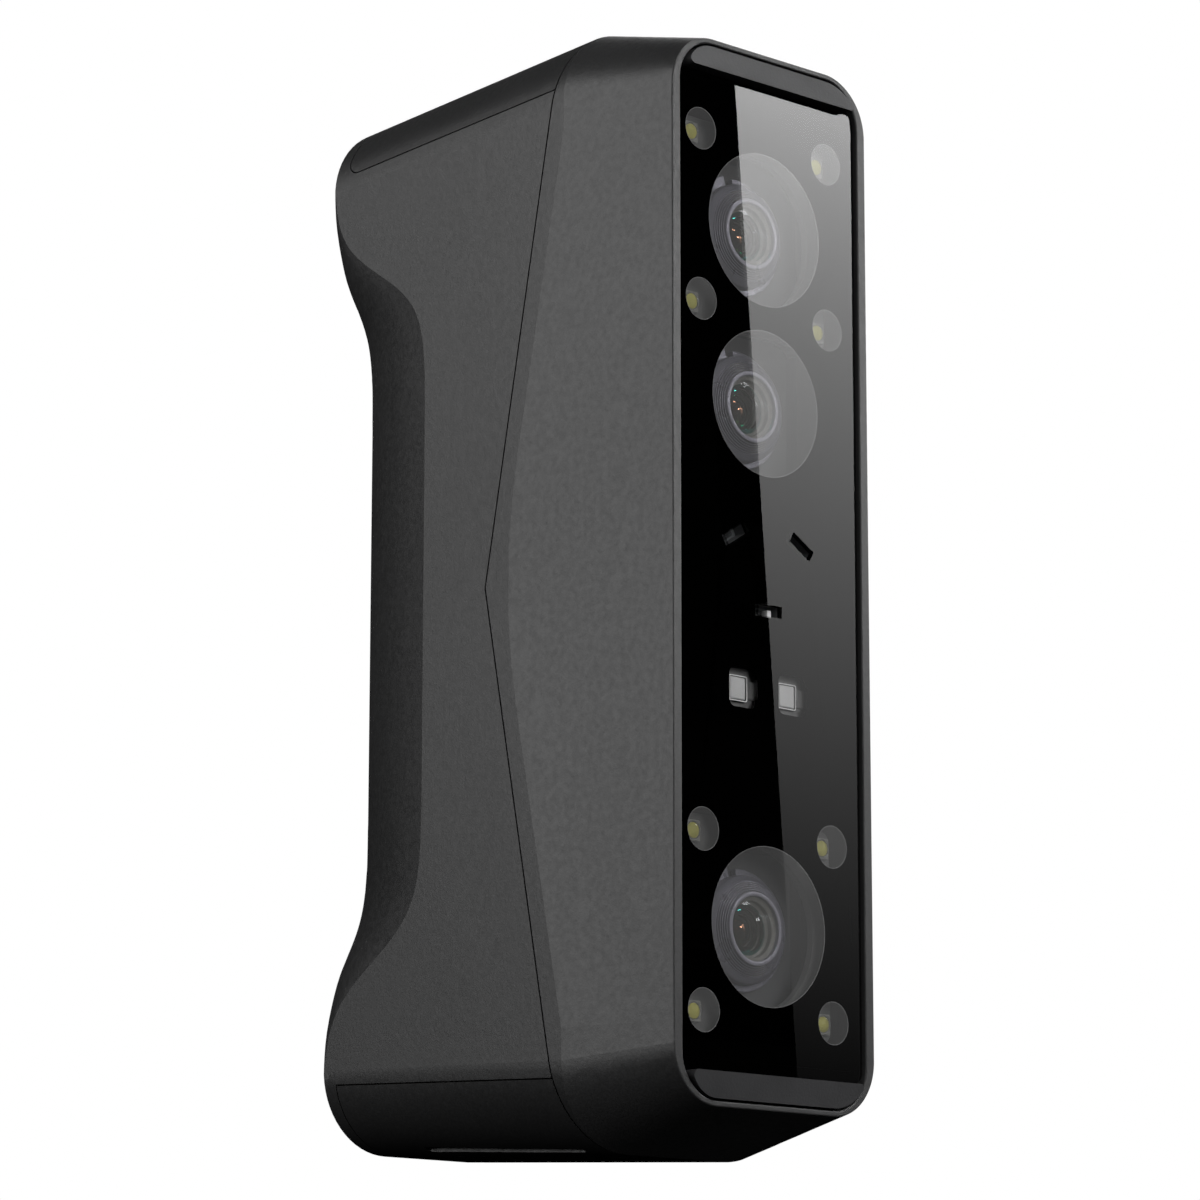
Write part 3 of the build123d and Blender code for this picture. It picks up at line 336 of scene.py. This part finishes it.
def revolve(mesh, x, z, outline, segments):
    """Surface through (radius, y) points turned about a line along Y at (x, z)."""
    rings = []
    for radius, y in outline:
        if radius == 0:
            rings.append([mesh.verts.new((x, y, z))])
        else:
            turns = angles(segments)
            rings.append(
                [mesh.verts.new((x + radius * math.cos(a), y, z + radius * math.sin(a))) for a in turns]
            )
    for near, far in zip(rings, rings[1:]):
        for step in range(segments):
            ahead = (step + 1) % segments
            corners = [
                near[step % len(near)], near[ahead % len(near)],
                far[ahead % len(far)], far[step % len(far)],
            ]
            mesh.faces.new(list(dict.fromkeys(corners)))


def sweep_outline(mesh, points, levels, place):
    """Closed stack of one flat outline; levels are (offset along the normal, scale) pairs."""
    rings = [
        [mesh.verts.new(place @ Vector((px * scale, py * scale, offset))) for px, py in points]
        for offset, scale in levels
    ]
    count = len(points)
    for near, far in zip(rings, rings[1:]):
        for step in range(count):
            ahead = (step + 1) % count
            mesh.faces.new((near[step], near[ahead], far[ahead], far[step]))
    mesh.faces.new(rings[0])
    mesh.faces.new(rings[-1])


def rounded_outline(width, height, corner, steps=6):
    """Points round a rounded rectangle."""
    points = []
    for sx, sy, start in ((1, 1, 0.0), (-1, 1, 0.25), (-1, -1, 0.5), (1, -1, 0.75)):
        for step in range(steps + 1):
            a = TURN * (start + 0.25 * step / steps)
            points.append((
                sx * (width / 2 - corner) + corner * math.cos(a),
                sy * (height / 2 - corner) + corner * math.sin(a),
            ))
    return points


def facing_front(x, y, z, turn=0.0):
    """Placement whose local z runs forwards (-Y) and local y up, turned by some degrees."""
    return Matrix.Translation((x, y, z)) @ Matrix.Rotation(math.pi / 2, 4, "X") @ Matrix.Rotation(
        math.radians(turn), 4, "Z"
    )


def facing_back(x, y, z):
    """Placement whose local z runs backwards (+Y) and local y up."""
    return Matrix.Translation((x, y, z)) @ Matrix.Rotation(math.pi, 4, "Z") @ Matrix.Rotation(
        math.pi / 2, 4, "X"
    )


def plaque(mesh, place, width, height, corner, thick, edge):
    """Rounded plate with softened edges, standing on its placement plane."""
    inner = 1 - 2 * edge / min(width, height)
    outline = rounded_outline(width, height, corner)
    sweep_outline(mesh, outline, [(0, 1), (thick - edge, 1), (thick, inner)], place)


def piece(name, mesh, look, body=BODY, stands_for=(), crease=35):
    """Finishes a bmesh as one named object that rides on a body."""
    bmesh.ops.remove_doubles(mesh, verts=mesh.verts, dist=1e-7)
    bmesh.ops.recalc_face_normals(mesh, faces=mesh.faces)
    data = bpy.data.meshes.new(name)
    mesh.to_mesh(data)
    mesh.free()
    data.polygons.foreach_set("use_smooth", [True] * len(data.polygons))
    data.set_sharp_from_angle(angle=math.radians(crease))
    data.materials.append(look)
    made = bpy.data.objects.new(name, data)
    bpy.context.collection.objects.link(made)
    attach(made, body)
    if stands_for:
        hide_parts(*stands_for)
    return made


def cap(radius, rise, y, steps):
    """(radius, y) points of a spherical cap from its edge to its forward apex."""
    sphere = (radius**2 + rise**2) / (2 * rise)
    reach = math.asin(radius / sphere)
    return [
        (sphere * math.sin(reach * (1 - step / steps)) if step < steps else 0,
         y - sphere * (math.cos(reach * (1 - step / steps)) - math.cos(reach)))
        for step in range(steps + 1)
    ]


# ------------------------------------------------------------------ cameras
# in millimetres: radius and distance behind the nose of each turning of a barrel
BARREL_NOSE = ((5.38, 0.0), (5.5, -0.06), (5.95, -0.06), (6.08, 0.02), (6.1, 0.3))
BARREL_RIM = ((7.9, 1.28), (8.0, 1.2), (8.72, 1.78), (8.93, 2.0), (9.0, 2.25))
BARREL_SEGMENTS = 128
GROOVES = 5
GROOVE_START = 6.2
GROOVE_PITCH = 0.34
GROOVE_DEPTH = 0.4
# the sloping face round the nose ring: its start behind the nose and its fall
SLOPE_START = 0.25
NOSE_SLOPE = 0.55
# steps of the bore, narrowest first
BAFFLES = 5
BAFFLE_RADIUS = 2.3
BAFFLE_WIDER = 0.58
BAFFLE_NEARER = 1.15
BAFFLE_LENGTH = 0.8
BORE_FLOOR_RADIUS = 1.5
BORE_END = 6.6
ELEMENT_RIM = 0.3
LENS_SLACK = 0.03
# radii of the nose ring's two edges and of the last groove's outer edge
BORE_RADIUS = 5.3
RING_RADIUS = 6.09
GROOVES_END = 7.85
COLLAR_BEHIND = 3.4
COLLAR_BORE = 9.08
# each arc of the collar: start and end in turns, and outer radius
COLLAR_ARCS = ((0.30, 0.40, 10.8), (0.42, 0.93, 10.1), (0.0, 0.27, 10.1))
ELEMENTS = (
    # name, look, radii of its rim and of its hidden middle, rise and distance behind the nose
    ("second", "coat_cyan", 4.4, 3.5, 1.4, 2.2),
    ("third", "coat_green", 3.7, 2.5, 1.3, 3.2),
    ("rear", "coat_amber", 2.7, 0.0, 1.1, 4.0),
)


def bore_outline(nose_y, slack=0.0):
    """Stepped bore, widening from the image sensor towards the front lens."""
    end = BORE_END + slack
    bore = [(0, end), (BORE_FLOOR_RADIUS, end)]
    for step in range(BAFFLES):
        wide = BAFFLE_RADIUS + BAFFLE_WIDER * step + slack
        depth = end - 0.2 - BAFFLE_NEARER * step
        bore += [(wide, depth), (wide + 0.1, depth - BAFFLE_LENGTH)]
    bore.append((5.32 + slack, 0.7 + slack))
    return [(radius * MM, nose_y + behind * MM) for radius, behind in bore]


def barrel_outline(nose_y, back_y, radius):
    """Barrel: stepped bore, bright nose ring, fine grooves and a bevelled rim."""
    bore = bore_outline(nose_y)
    nose = [(r * MM, nose_y + y * MM) for r, y in BARREL_NOSE]
    slope = []
    for groove in range(GROOVES):
        r = GROOVE_START + groove * GROOVE_PITCH
        y = SLOPE_START + (r - GROOVE_START) * NOSE_SLOPE
        slope += [
            (r, y + GROOVE_DEPTH), (r + 0.13, y + GROOVE_DEPTH), (r + 0.16, y), (r + 0.29, y + 0.03),
        ]
    slope = [(r * MM, nose_y + y * MM) for r, y in slope + list(BARREL_RIM)]
    return bore + nose + slope + [(radius, back_y), (0, back_y)]


for camera_name in CAMERAS:
    barrel_low, barrel_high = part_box(f"{camera_name}_lens_barrel")
    middle = centre(f"{camera_name}_front_lens")
    nose_y = barrel_low.y
    mesh = bmesh.new()
    revolve(
        mesh, middle.x, middle.z,
        barrel_outline(nose_y, barrel_high.y, (barrel_high.x - barrel_low.x) / 2), BARREL_SEGMENTS,
    )
    barrel = piece(
        f"{camera_name}_barrel", mesh, looks["barrel_anodised"],
        stands_for=[f"{camera_name}_lens_barrel"],
    )
    # slot 1, the pale ring, and slot 2, the black bore and the groove floors darkened as painted shade,
    # are faces of the same turning
    barrel.data.materials.append(extra_looks["lens_ring"])
    barrel.data.materials.append(extra_looks["bore_black_and_groove_shade"])
    for face in barrel.data.polygons:
        from_axis = math.hypot(face.center.x - middle.x, face.center.z - middle.z)
        behind = (face.center.y - nose_y) / MM
        slope_here = SLOPE_START + (from_axis / MM - GROOVE_START) * NOSE_SLOPE
        groove_floor = slope_here + GROOVE_DEPTH / 2
        # the floors of the grooves take the dark bore colour: painted shade in the grooves
        in_groove = GROOVE_START < from_axis / MM < GROOVES_END and behind > groove_floor
        if (from_axis < BORE_RADIUS * MM or in_groove) and behind < BORE_END + 1:
            face.material_index = 2
        elif from_axis < RING_RADIUS * MM and behind < 1:
            face.material_index = 1

    # front element and the glass behind it, filling the bore
    lens_low, lens_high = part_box(f"{camera_name}_front_lens")
    lens_radius = (lens_high.x - lens_low.x) / 2 - 0.02 * MM
    edge_y = nose_y + 0.02 * MM
    mesh = bmesh.new()
    revolve(
        mesh, middle.x, middle.z,
        bore_outline(nose_y, LENS_SLACK) + cap(lens_radius, edge_y - lens_low.y, edge_y, 16), 96,
    )
    piece(
        f"{camera_name}_lens_group", mesh, looks["lens_glass"],
        stands_for=[f"{camera_name}_front_lens"], crease=60,
    )
    for element, look, radius, hidden, rise, behind in ELEMENTS:
        mesh = bmesh.new()
        y = nose_y + behind * MM
        crown = [point for point in cap(radius * MM, rise * MM, y, 14) if point[0] >= hidden * MM]
        inner_radius = crown[-1][0]
        back_y = y + ELEMENT_RIM * MM
        outline = [(inner_radius, back_y), (radius * MM, back_y)] + crown
        if hidden:
            outline.append((inner_radius, back_y))
        revolve(mesh, middle.x, middle.z, outline, 64)
        piece(f"{camera_name}_lens_{element}", mesh, extra_looks[look], crease=60)
    # image sensor at the bottom of the bore
    mesh = bmesh.new()
    chip_place = facing_front(0, nose_y + (BORE_END - 0.02) * MM, middle.z)
    plaque(mesh, chip_place, 2.6 * MM, 2.0 * MM, 0.2 * MM, 0.3 * MM, 0.1 * MM)
    piece(f"{camera_name}_image_chip", mesh, extra_looks["sensor_purple"])

    # collar round the barrel with a keyed tab and a gap
    mesh = bmesh.new()
    collar_y = nose_y + COLLAR_BEHIND * MM
    for start, stop, wide in COLLAR_ARCS:
        count = max(6, int((stop - start) * 96))
        rows = []
        section = (
            (COLLAR_BORE, 1.0), (COLLAR_BORE, 0.0), (wide - 0.15, 0.0), (wide, 0.15), (wide, 1.0),
        )
        for radius, y in section:
            row = []
            for step in range(count + 1):
                a = TURN * (start + (stop - start) * step / count)
                row.append(mesh.verts.new((
                    middle.x + radius * MM * math.cos(a), collar_y + y * MM,
                    middle.z + radius * MM * math.sin(a),
                )))
            rows.append(row)
        for near, far in zip(rows, rows[1:] + rows[:1]):
            for step in range(count):
                mesh.faces.new((near[step], near[step + 1], far[step + 1], far[step]))
        mesh.faces.new([row[0] for row in rows])
        mesh.faces.new([row[-1] for row in rows])
    piece(f"{camera_name}_collar", mesh, looks["barrel_anodised"])


# ------------------------------------------------------------------ clear windows
# radii of the round windows in millimetres
WINDOW_RADII = {"upper": 13.2, "middle": 12.5, "lower": 13.2}
LAMP_WINDOW_RADIUS = 3.6
LAMP_WIDTH = 3.5 * MM
EDGE_SEGMENTS = 96
mask_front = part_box("window_mask")[0].y


def lamp_spots(name):
    """X and Z of the four lamps round a camera."""
    low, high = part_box(f"{name}_leds")
    half = LAMP_WIDTH / 2
    return [(x, z) for x in (low.x + half, high.x - half) for z in (low.z + half, high.z - half)]


windows = []
for camera_name, radius in WINDOW_RADII.items():
    spot = centre(f"{camera_name}_front_lens")
    windows.append((spot.x, spot.z, radius * MM))
for camera_name in LIT_CAMERAS:
    windows += [(x, z, LAMP_WINDOW_RADIUS * MM) for x, z in lamp_spots(camera_name)]
window_coating(looks["window_glass"], windows, mask_front - 0.2 * MM)

# fine pale line round each hole of the mask, where the print ends
edges = bmesh.new()
for x, z, radius in windows:
    ring_radius = radius - 0.07 * MM
    ring_y = mask_front + 0.06 * MM
    loop = [
        (ring_radius + 0.05 * MM * math.cos(a), ring_y + 0.03 * MM * math.sin(a)) for a in angles(6)
    ]
    revolve(edges, x, z, loop + loop[:1], EDGE_SEGMENTS)
piece("window_print_edges", edges, extra_looks["pane_edge"])


# ------------------------------------------------------------------ flash lamps
PACKAGE_HEIGHT = 0.8 * MM
PHOSPHOR_RADIUS = 1.3 * MM
DOME_RADIUS = 1.58 * MM
DOME_RISE = 1.5 * MM
SEAT_OUTER = 1.72 * MM
SEAT_INNER = 1.5 * MM
LAMP_SEGMENTS = 48
for camera_name in LIT_CAMERAS:
    low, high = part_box(f"{camera_name}_leds")
    packages = bmesh.new()
    phosphors = bmesh.new()
    domes = bmesh.new()
    for x, z in lamp_spots(camera_name):
        top = high.y - PACKAGE_HEIGHT
        package_place = facing_front(x, high.y, z)
        plaque(
            packages, package_place, LAMP_WIDTH, LAMP_WIDTH, 0.35 * MM, PACKAGE_HEIGHT, 0.12 * MM
        )
        # raised seat of the dome
        revolve(packages, x, z, [
            (SEAT_OUTER, top), (SEAT_OUTER, top - 0.1 * MM), (1.6 * MM, top - 0.14 * MM),
            (SEAT_INNER, top - 0.1 * MM), (SEAT_INNER, top), (SEAT_OUTER, top),
        ], LAMP_SEGMENTS)
        disc = [
            (0, top + 0.1 * MM), (PHOSPHOR_RADIUS, top + 0.1 * MM),
            (PHOSPHOR_RADIUS, top - 0.12 * MM),
        ] + cap(PHOSPHOR_RADIUS - 0.05 * MM, 0.32 * MM, top - 0.16 * MM, 5)
        revolve(phosphors, x, z, disc, LAMP_SEGMENTS)
        dome = cap(DOME_RADIUS, DOME_RISE, top - 0.02 * MM, 12)
        revolve(domes, x, z, [(0, top), (DOME_RADIUS, top)] + dome, LAMP_SEGMENTS)
    piece(
        f"{camera_name}_lamp_packages", packages, extra_looks["lamp_ceramic"],
        stands_for=[f"{camera_name}_leds"],
    )
    piece(f"{camera_name}_lamp_phosphors", phosphors, looks["led_phosphor"])
    piece(f"{camera_name}_lamp_domes", domes, extra_looks["lamp_dome"], crease=60)


# ------------------------------------------------------------------ infrared emitters
EMITTER_X = 5.75 * MM
# outer and inner width, and corner, of the bright line round each die
LINE_OUTER = (4.25 * MM, 0.4 * MM)
LINE_INNER = (3.98 * MM, 0.3 * MM)
emitter_low, emitter_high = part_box("emitters")
emitter_y = emitter_high.y
emitter_z = (emitter_low.z + emitter_high.z) / 2
frames = bmesh.new()
dies = bmesh.new()
lines = bmesh.new()
gaps = bmesh.new()
for x in (-EMITTER_X, EMITTER_X):
    for mesh, aside, width, height, corner, thick, edge in (
        # frame, tab at its side, dark gap and bright die; all in millimetres
        (frames, 0.3, 7.6, 7.4, 1.2, 0.75, 0.15),
        (frames, 3.6, 2.0, 3.0, 0.2, 1.15, 0.12),
        (gaps, 0.0, 4.3, 4.3, 0.3, 1.3, 0.1),
        (dies, -0.12, 3.6, 3.7, 0.25, 1.55, 0.15),
    ):
        plaque(
            mesh, facing_front(x + aside * MM, emitter_y, emitter_z), width * MM, height * MM,
            corner * MM, thick * MM, edge * MM,
        )
    outer, inner = (
        rounded_outline(width, width, corner) for width, corner in (LINE_OUTER, LINE_INNER)
    )
    place = facing_front(x, emitter_y, emitter_z)
    rows = [
        [lines.verts.new(place @ Vector((px, py, height * MM))) for px, py in ring]
        for ring, height in ((outer, 1.25), (outer, 1.48), (inner, 1.48), (inner, 1.25))
    ]
    for near, far in zip(rows, rows[1:] + rows[:1]):
        for step in range(len(near)):
            ahead = (step + 1) % len(near)
            lines.faces.new((near[step], near[ahead], far[ahead], far[step]))
piece("emitter_frames", frames, looks["emitter_ceramic"], stands_for=["emitters"])
piece("emitter_gaps", gaps, extra_looks["die_gap"])
piece("emitter_dies", dies, extra_looks["die_bright"])
piece("emitter_lines", lines, extra_looks["die_line"])


# ------------------------------------------------------------------ laser slots
# millimetres: width, height and level of each ring of the open tray, from its floor outwards
TRAY_RINGS = ((6.4, 2.9, 0.0), (6.4, 2.9, 2.4), (5.56, 2.06, 2.4), (5.4, 1.9, 0.3))
ROD_RADIUS = 0.62
ROD_HALF_LENGTH = 1.35
# turn of each slot in degrees, and where its pale blocks sit along it in millimetres
SLOTS = {"left": (31.0, (-2.0,)), "right": (-31.0, (-2.3,)), "lower": (0.0, (-2.1, 1.7))}
walls = bmesh.new()
blocks = bmesh.new()
rods = bmesh.new()
for laser, (turn, spots) in SLOTS.items():
    spot = centre(f"{laser}_laser")
    laser_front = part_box(f"{laser}_laser")[0].y
    tray = facing_front(spot.x, laser_front + 0.58 * MM, spot.z, turn)
    # tray between the laser's face and the mask
    rings = []
    for width, height, level in TRAY_RINGS:
        ring = rounded_outline(width * MM, height * MM, 0.25 * MM, 4)
        rings.append([walls.verts.new(tray @ Vector((px, py, level * MM))) for px, py in ring])
    for near, far in zip(rings, rings[1:]):
        for step in range(len(near)):
            ahead = (step + 1) % len(near)
            walls.faces.new((near[step], near[ahead], far[ahead], far[step]))
    walls.faces.new(rings[0])
    walls.faces.new(rings[-1])
    for along in spots:
        block = tray @ Matrix.Translation((along * MM, -0.1 * MM, 0.3 * MM))
        plaque(blocks, block, 0.95 * MM, 1.3 * MM, 0.15 * MM, 1.35 * MM, 0.1 * MM)
    # line lens: a half-round rod lying along the slot
    half = [
        (ROD_RADIUS * math.cos(a), ROD_RADIUS * math.sin(a))
        for a in angles(16) if math.sin(a) > -0.01
    ]
    ends = []
    for along in (-ROD_HALF_LENGTH, ROD_HALF_LENGTH):
        ends.append([
            rods.verts.new(tray @ Vector((along * MM, across * MM, (0.4 + up) * MM)))
            for across, up in half
        ])
    for step in range(len(half)):
        ahead = (step + 1) % len(half)
        rods.faces.new((ends[0][step], ends[0][ahead], ends[1][ahead], ends[1][step]))
    rods.faces.new(ends[0])
    rods.faces.new(ends[1])
piece("laser_trays", walls, extra_looks["slot_wall"])
piece("laser_blocks", blocks, extra_looks["slot_block"])
piece("laser_rods", rods, looks["line_lens_glass"], stands_for=["laser_lenses"])


# ------------------------------------------------------------------ buttons
CAP_ROUND = 0.35 * MM
CAP_DISH = 0.32 * MM
FLANGE_LEVEL = 2.0 * MM
FLANGE_THICKNESS = 0.85 * MM
FLANGE_REACH = 0.95 * MM
STEM_RADIUS = 1.5 * MM


def button_outline(low, high, radius):
    """Dished cap over a flange and a stem, as (radius, y) points."""
    top = high.y
    rim = radius - CAP_ROUND
    dish = [
        (rim * (1 - 0.12 * step), top - 0.04 * MM * (1 - step) - CAP_DISH * min(1, step / 3))
        for step in range(4)
    ]
    curve = [
        (radius - CAP_ROUND * (1 - math.cos(a)), top - CAP_ROUND * (1 - math.sin(a)))
        for a in [TURN / 4 * step / 5 for step in range(6)]
    ]
    flange = low.y + FLANGE_LEVEL
    flange_back = flange - FLANGE_THICKNESS
    wide = radius + FLANGE_REACH
    return [
        (0, low.y), (STEM_RADIUS, low.y), (STEM_RADIUS, flange_back),
        (wide, flange_back), (wide, flange - 0.05 * MM), (radius, flange),
    ] + curve + dish[1:] + [(0, dish[-1][1])]


def bar(mesh, place, length, width):
    """Printed stroke with round ends."""
    corner = 0.49 * min(length, width) * MM
    plaque(mesh, place, length * MM, width * MM, corner, 0.06 * MM, 0.02 * MM)


def arc(mesh, place, radius, width, start, stop, steps=40):
    """Printed arc between two turns."""
    rows = []
    for r, height in (
        (radius - width / 2, 0.0), (radius - width / 2, 0.06), (radius + width / 2, 0.06),
        (radius + width / 2, 0.0),
    ):
        rows.append([
            mesh.verts.new(place @ Vector((
                r * MM * math.cos(TURN * t), r * MM * math.sin(TURN * t), height * MM
            )))
            for t in [start + (stop - start) * step / steps for step in range(steps + 1)]
        ])
    for near, far in zip(rows, rows[1:] + rows[:1]):
        for step in range(steps):
            mesh.faces.new((near[step], near[step + 1], far[step + 1], far[step]))
    if stop - start < 1:
        mesh.faces.new([row[0] for row in rows])
        mesh.faces.new([row[-1] for row in rows])


for button in ("scan_button", "plus_button", "minus_button", "power_button"):
    low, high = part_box(button)
    spot = centre(button)
    radius = (high.x - low.x) / 2 - 1.0 * MM
    outline = button_outline(low, high, radius)
    mesh = bmesh.new()
    revolve(mesh, spot.x, spot.z, outline, 96)
    piece(f"{button}_cap", mesh, looks["button_rubber"], body=button,
          stands_for=[button], crease=50)
    sign = bmesh.new()
    place = facing_back(spot.x, outline[-1][1] - 0.005 * MM, spot.z)
    if button == "plus_button":
        bar(sign, place, 3.4, 0.6)
        for side in (-1, 1):
            bar(sign, place @ Matrix.Translation((0, side * 1.03 * MM, 0)), 0.6, 1.34)
    elif button == "minus_button":
        bar(sign, place, 3.4, 0.6)
    elif button == "power_button":
        arc(sign, place, 1.15, 0.3, 0.33, 1.17)
        bar(sign, place @ Matrix.Translation((0, 0.95 * MM, 0)), 0.3, 1.2)
    else:
        arc(sign, place, 2.6, 0.36, 0.0, 1.0, 64)
        arc(sign, place, 0.55, 1.08, 0.0, 1.0)
    piece(f"{button}_sign", sign, extra_looks["symbol_print"], body=button)


# ------------------------------------------------------------------ port contacts
CONTACT_PITCH = 0.5 * MM
CONTACT_OFFSET = 0.34 * MM
CONTACT_LEVEL = 2.2 * MM
socket_low, socket_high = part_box("usb_socket")
tongue_y = (socket_low.y + socket_high.y) / 2
contacts = bmesh.new()
for side in (-1, 1):
    for column in range(-5, 6):
        place = Matrix.Translation((
            column * CONTACT_PITCH, tongue_y + side * CONTACT_OFFSET, socket_low.z + CONTACT_LEVEL
        )) @ Matrix.Rotation(-side * math.pi / 2, 4, "X")
        plaque(contacts, place, 0.26 * MM, 3.6 * MM, 0.06 * MM, 0.05 * MM, 0.02 * MM)
piece("port_contacts", contacts, extra_looks["contact_gold"])


# ------------------------------------------------------------------ stage
FLOOR_LEVEL = -0.26
FLOOR_REACH = 9
floor_mesh = bpy.data.meshes.new("floor")
floor_corners = [
    (x * FLOOR_REACH, y * FLOOR_REACH, 0) for x, y in ((-1, -1), (1, -1), (1, 1), (-1, 1))
]
floor_mesh.from_pydata(floor_corners, [], [(0, 1, 2, 3)])
floor = bpy.data.objects.new("floor", floor_mesh)
floor.location = (0, 0, FLOOR_LEVEL)
bpy.context.collection.objects.link(floor)
floor_look = new_material(
    "floor_look", (0.8, 0.8, 0.8), 0.9, Specular_IOR_Level=0.0, Emission_Color=(1, 1, 1, 1),
    Emission_Strength=0.72,
)
floor_mesh.materials.append(floor_look)
# the floor is pale to look at, but throws no light up at the dark underside
floor.visible_diffuse = False
floor.visible_glossy = False

# the surroundings look white, light the object only faintly and never show in its gloss
AMBIENT = 0.03
world = bpy.data.worlds.new("studio")
bpy.context.scene.world = world
world.use_nodes = True
sky = world.node_tree.nodes["Background"]
ray = node(world, "ShaderNodeLightPath")
seen = remap(world, ray.outputs["Is Camera Ray"], AMBIENT, 1.0, 0.0, 1.0)
not_gloss = remap(world, ray.outputs["Is Glossy Ray"], 1.0, 0.0, 0.0, 1.0)
sky.inputs["Color"].default_value = (1, 1, 1, 1)
link(world, multiply(world, seen, not_gloss), sky.inputs["Strength"])

# middle of the scanner
AIM = Vector((0, 0, 0.095))


def area_light(name, azimuth, elevation, distance, size, power, size_y=None, glossy=True):
    """Soft box round the scanner, placed by its direction in degrees and facing the middle."""
    around = math.radians(azimuth)
    up = math.radians(elevation)
    direction = Vector((
        math.cos(around) * math.cos(up), math.sin(around) * math.cos(up), math.sin(up)
    ))
    lamp = bpy.data.lights.new(name, "AREA")
    lamp.shape = "RECTANGLE"
    lamp.size = size
    lamp.size_y = size_y or size
    lamp.energy = power
    box = bpy.data.objects.new(name, lamp)
    box.location = AIM + distance * direction
    box.rotation_euler = (-direction).to_track_quat("-Z", "Y").to_euler()
    box.visible_glossy = glossy
    bpy.context.collection.objects.link(box)


# the long side of the scanner mirrors a wall of light standing behind it to the left
area_light("key_left", 160, 20, 1.2, 1.5, 11, 1.0)
area_light("fill_front", 262, 12, 1.3, 0.7, 20, glossy=False)
area_light("fill_right", 15, 35, 1.3, 1.0, 16)
area_light("fill_back", 70, 35, 1.4, 0.9, 24, glossy=False)
# two small bright lamps whose glints show on the lens elements
area_light("sparkle", 303, 16, 1.4, 0.2, 2.4, 0.14)
area_light("sparkle_high", 294, 50, 1.4, 0.32, 5.5, 0.26)

# lit card to the right of the window, bright above and dim below: the window mirrors it
CARD_TOP = 0.45
CARD_FOOT = 0.03
CARD_BRIGHTNESS = 4.85
FADE_LOW = 0.033
FADE_HIGH = 0.42
FADE_POWER = 2.1
PEAK_POWER = 6.0
PEAK_BOOST = 1.6
# x of the top edge, x of the foot and y, going round
CARD_PLAN = (
    (0.5035, 0.5372, -0.5487), (0.80, 0.80, -0.5487), (1.05, 1.05, -0.35), (1.2, 1.2, -0.05),
    (1.2, 1.2, 0.3),
)
card_mesh = bpy.data.meshes.new("card")
corners = [(top_x, y, CARD_TOP) for top_x, _, y in CARD_PLAN]
corners += [(foot_x, y, CARD_FOOT) for _, foot_x, y in CARD_PLAN]
strips = len(CARD_PLAN)
card_mesh.from_pydata(
    corners, [], [(step, step + 1, step + 1 + strips, step + strips) for step in range(strips - 1)]
)
card = bpy.data.objects.new("card", card_mesh)
card.visible_camera = False
card.visible_diffuse = False
bpy.context.collection.objects.link(card)
card_look = bpy.data.materials.new("card_look")
card_look.use_nodes = True
card_look.node_tree.nodes.clear()
card_out = node(card_look, "ShaderNodeOutputMaterial")
card_glow = node(card_look, "ShaderNodeEmission")
card_place = node(card_look, "ShaderNodeTexCoord")
card_split = node(card_look, "ShaderNodeSeparateXYZ")
link(card_look, card_place.outputs["Object"], card_split.inputs[0])
card_height = remap(card_look, card_split.outputs["Z"], 0.0, 1.0, FADE_LOW, FADE_HIGH)
card_fade = node(card_look, "ShaderNodeMath", operation="POWER")
link(card_look, card_height, card_fade.inputs[0])
card_fade.inputs[1].default_value = FADE_POWER
card_level = remap(card_look, card_fade.outputs[0], 0.0, CARD_BRIGHTNESS, 0.0, 1.0)
# the top of the card is brighter still
card_peak = node(card_look, "ShaderNodeMath", operation="POWER")
link(card_look, card_height, card_peak.inputs[0])
card_peak.inputs[1].default_value = PEAK_POWER
card_boost = remap(card_look, card_peak.outputs[0], 1.0, PEAK_BOOST, 0.0, 1.0)
card_level = multiply(card_look, card_level, card_boost)
link(card_look, card_level, card_glow.inputs["Strength"])
link(card_look, card_glow.outputs[0], card_out.inputs["Surface"])
card_mesh.materials.append(card_look)

# ------------------------------------------------------------------ camera
# fitted to the photograph
CAMERA_ROLL = 0.00097
view_direction = Vector((0.67600638, 0.71000688, 0.19724504))
camera_data = bpy.data.cameras.new("camera")
camera_data.lens = 135.125
camera_data.sensor_width = 36
camera = bpy.data.objects.new("camera", camera_data)
camera.location = (-0.52191, -0.54874, -0.05601)
level_aim = view_direction.to_track_quat("-Z", "Y")
camera.rotation_mode = "QUATERNION"
camera.rotation_quaternion = level_aim @ Quaternion((0, 0, 1), CAMERA_ROLL)
bpy.context.collection.objects.link(camera)
bpy.context.scene.camera = camera
bpy.context.scene.view_settings.view_transform = "Standard"
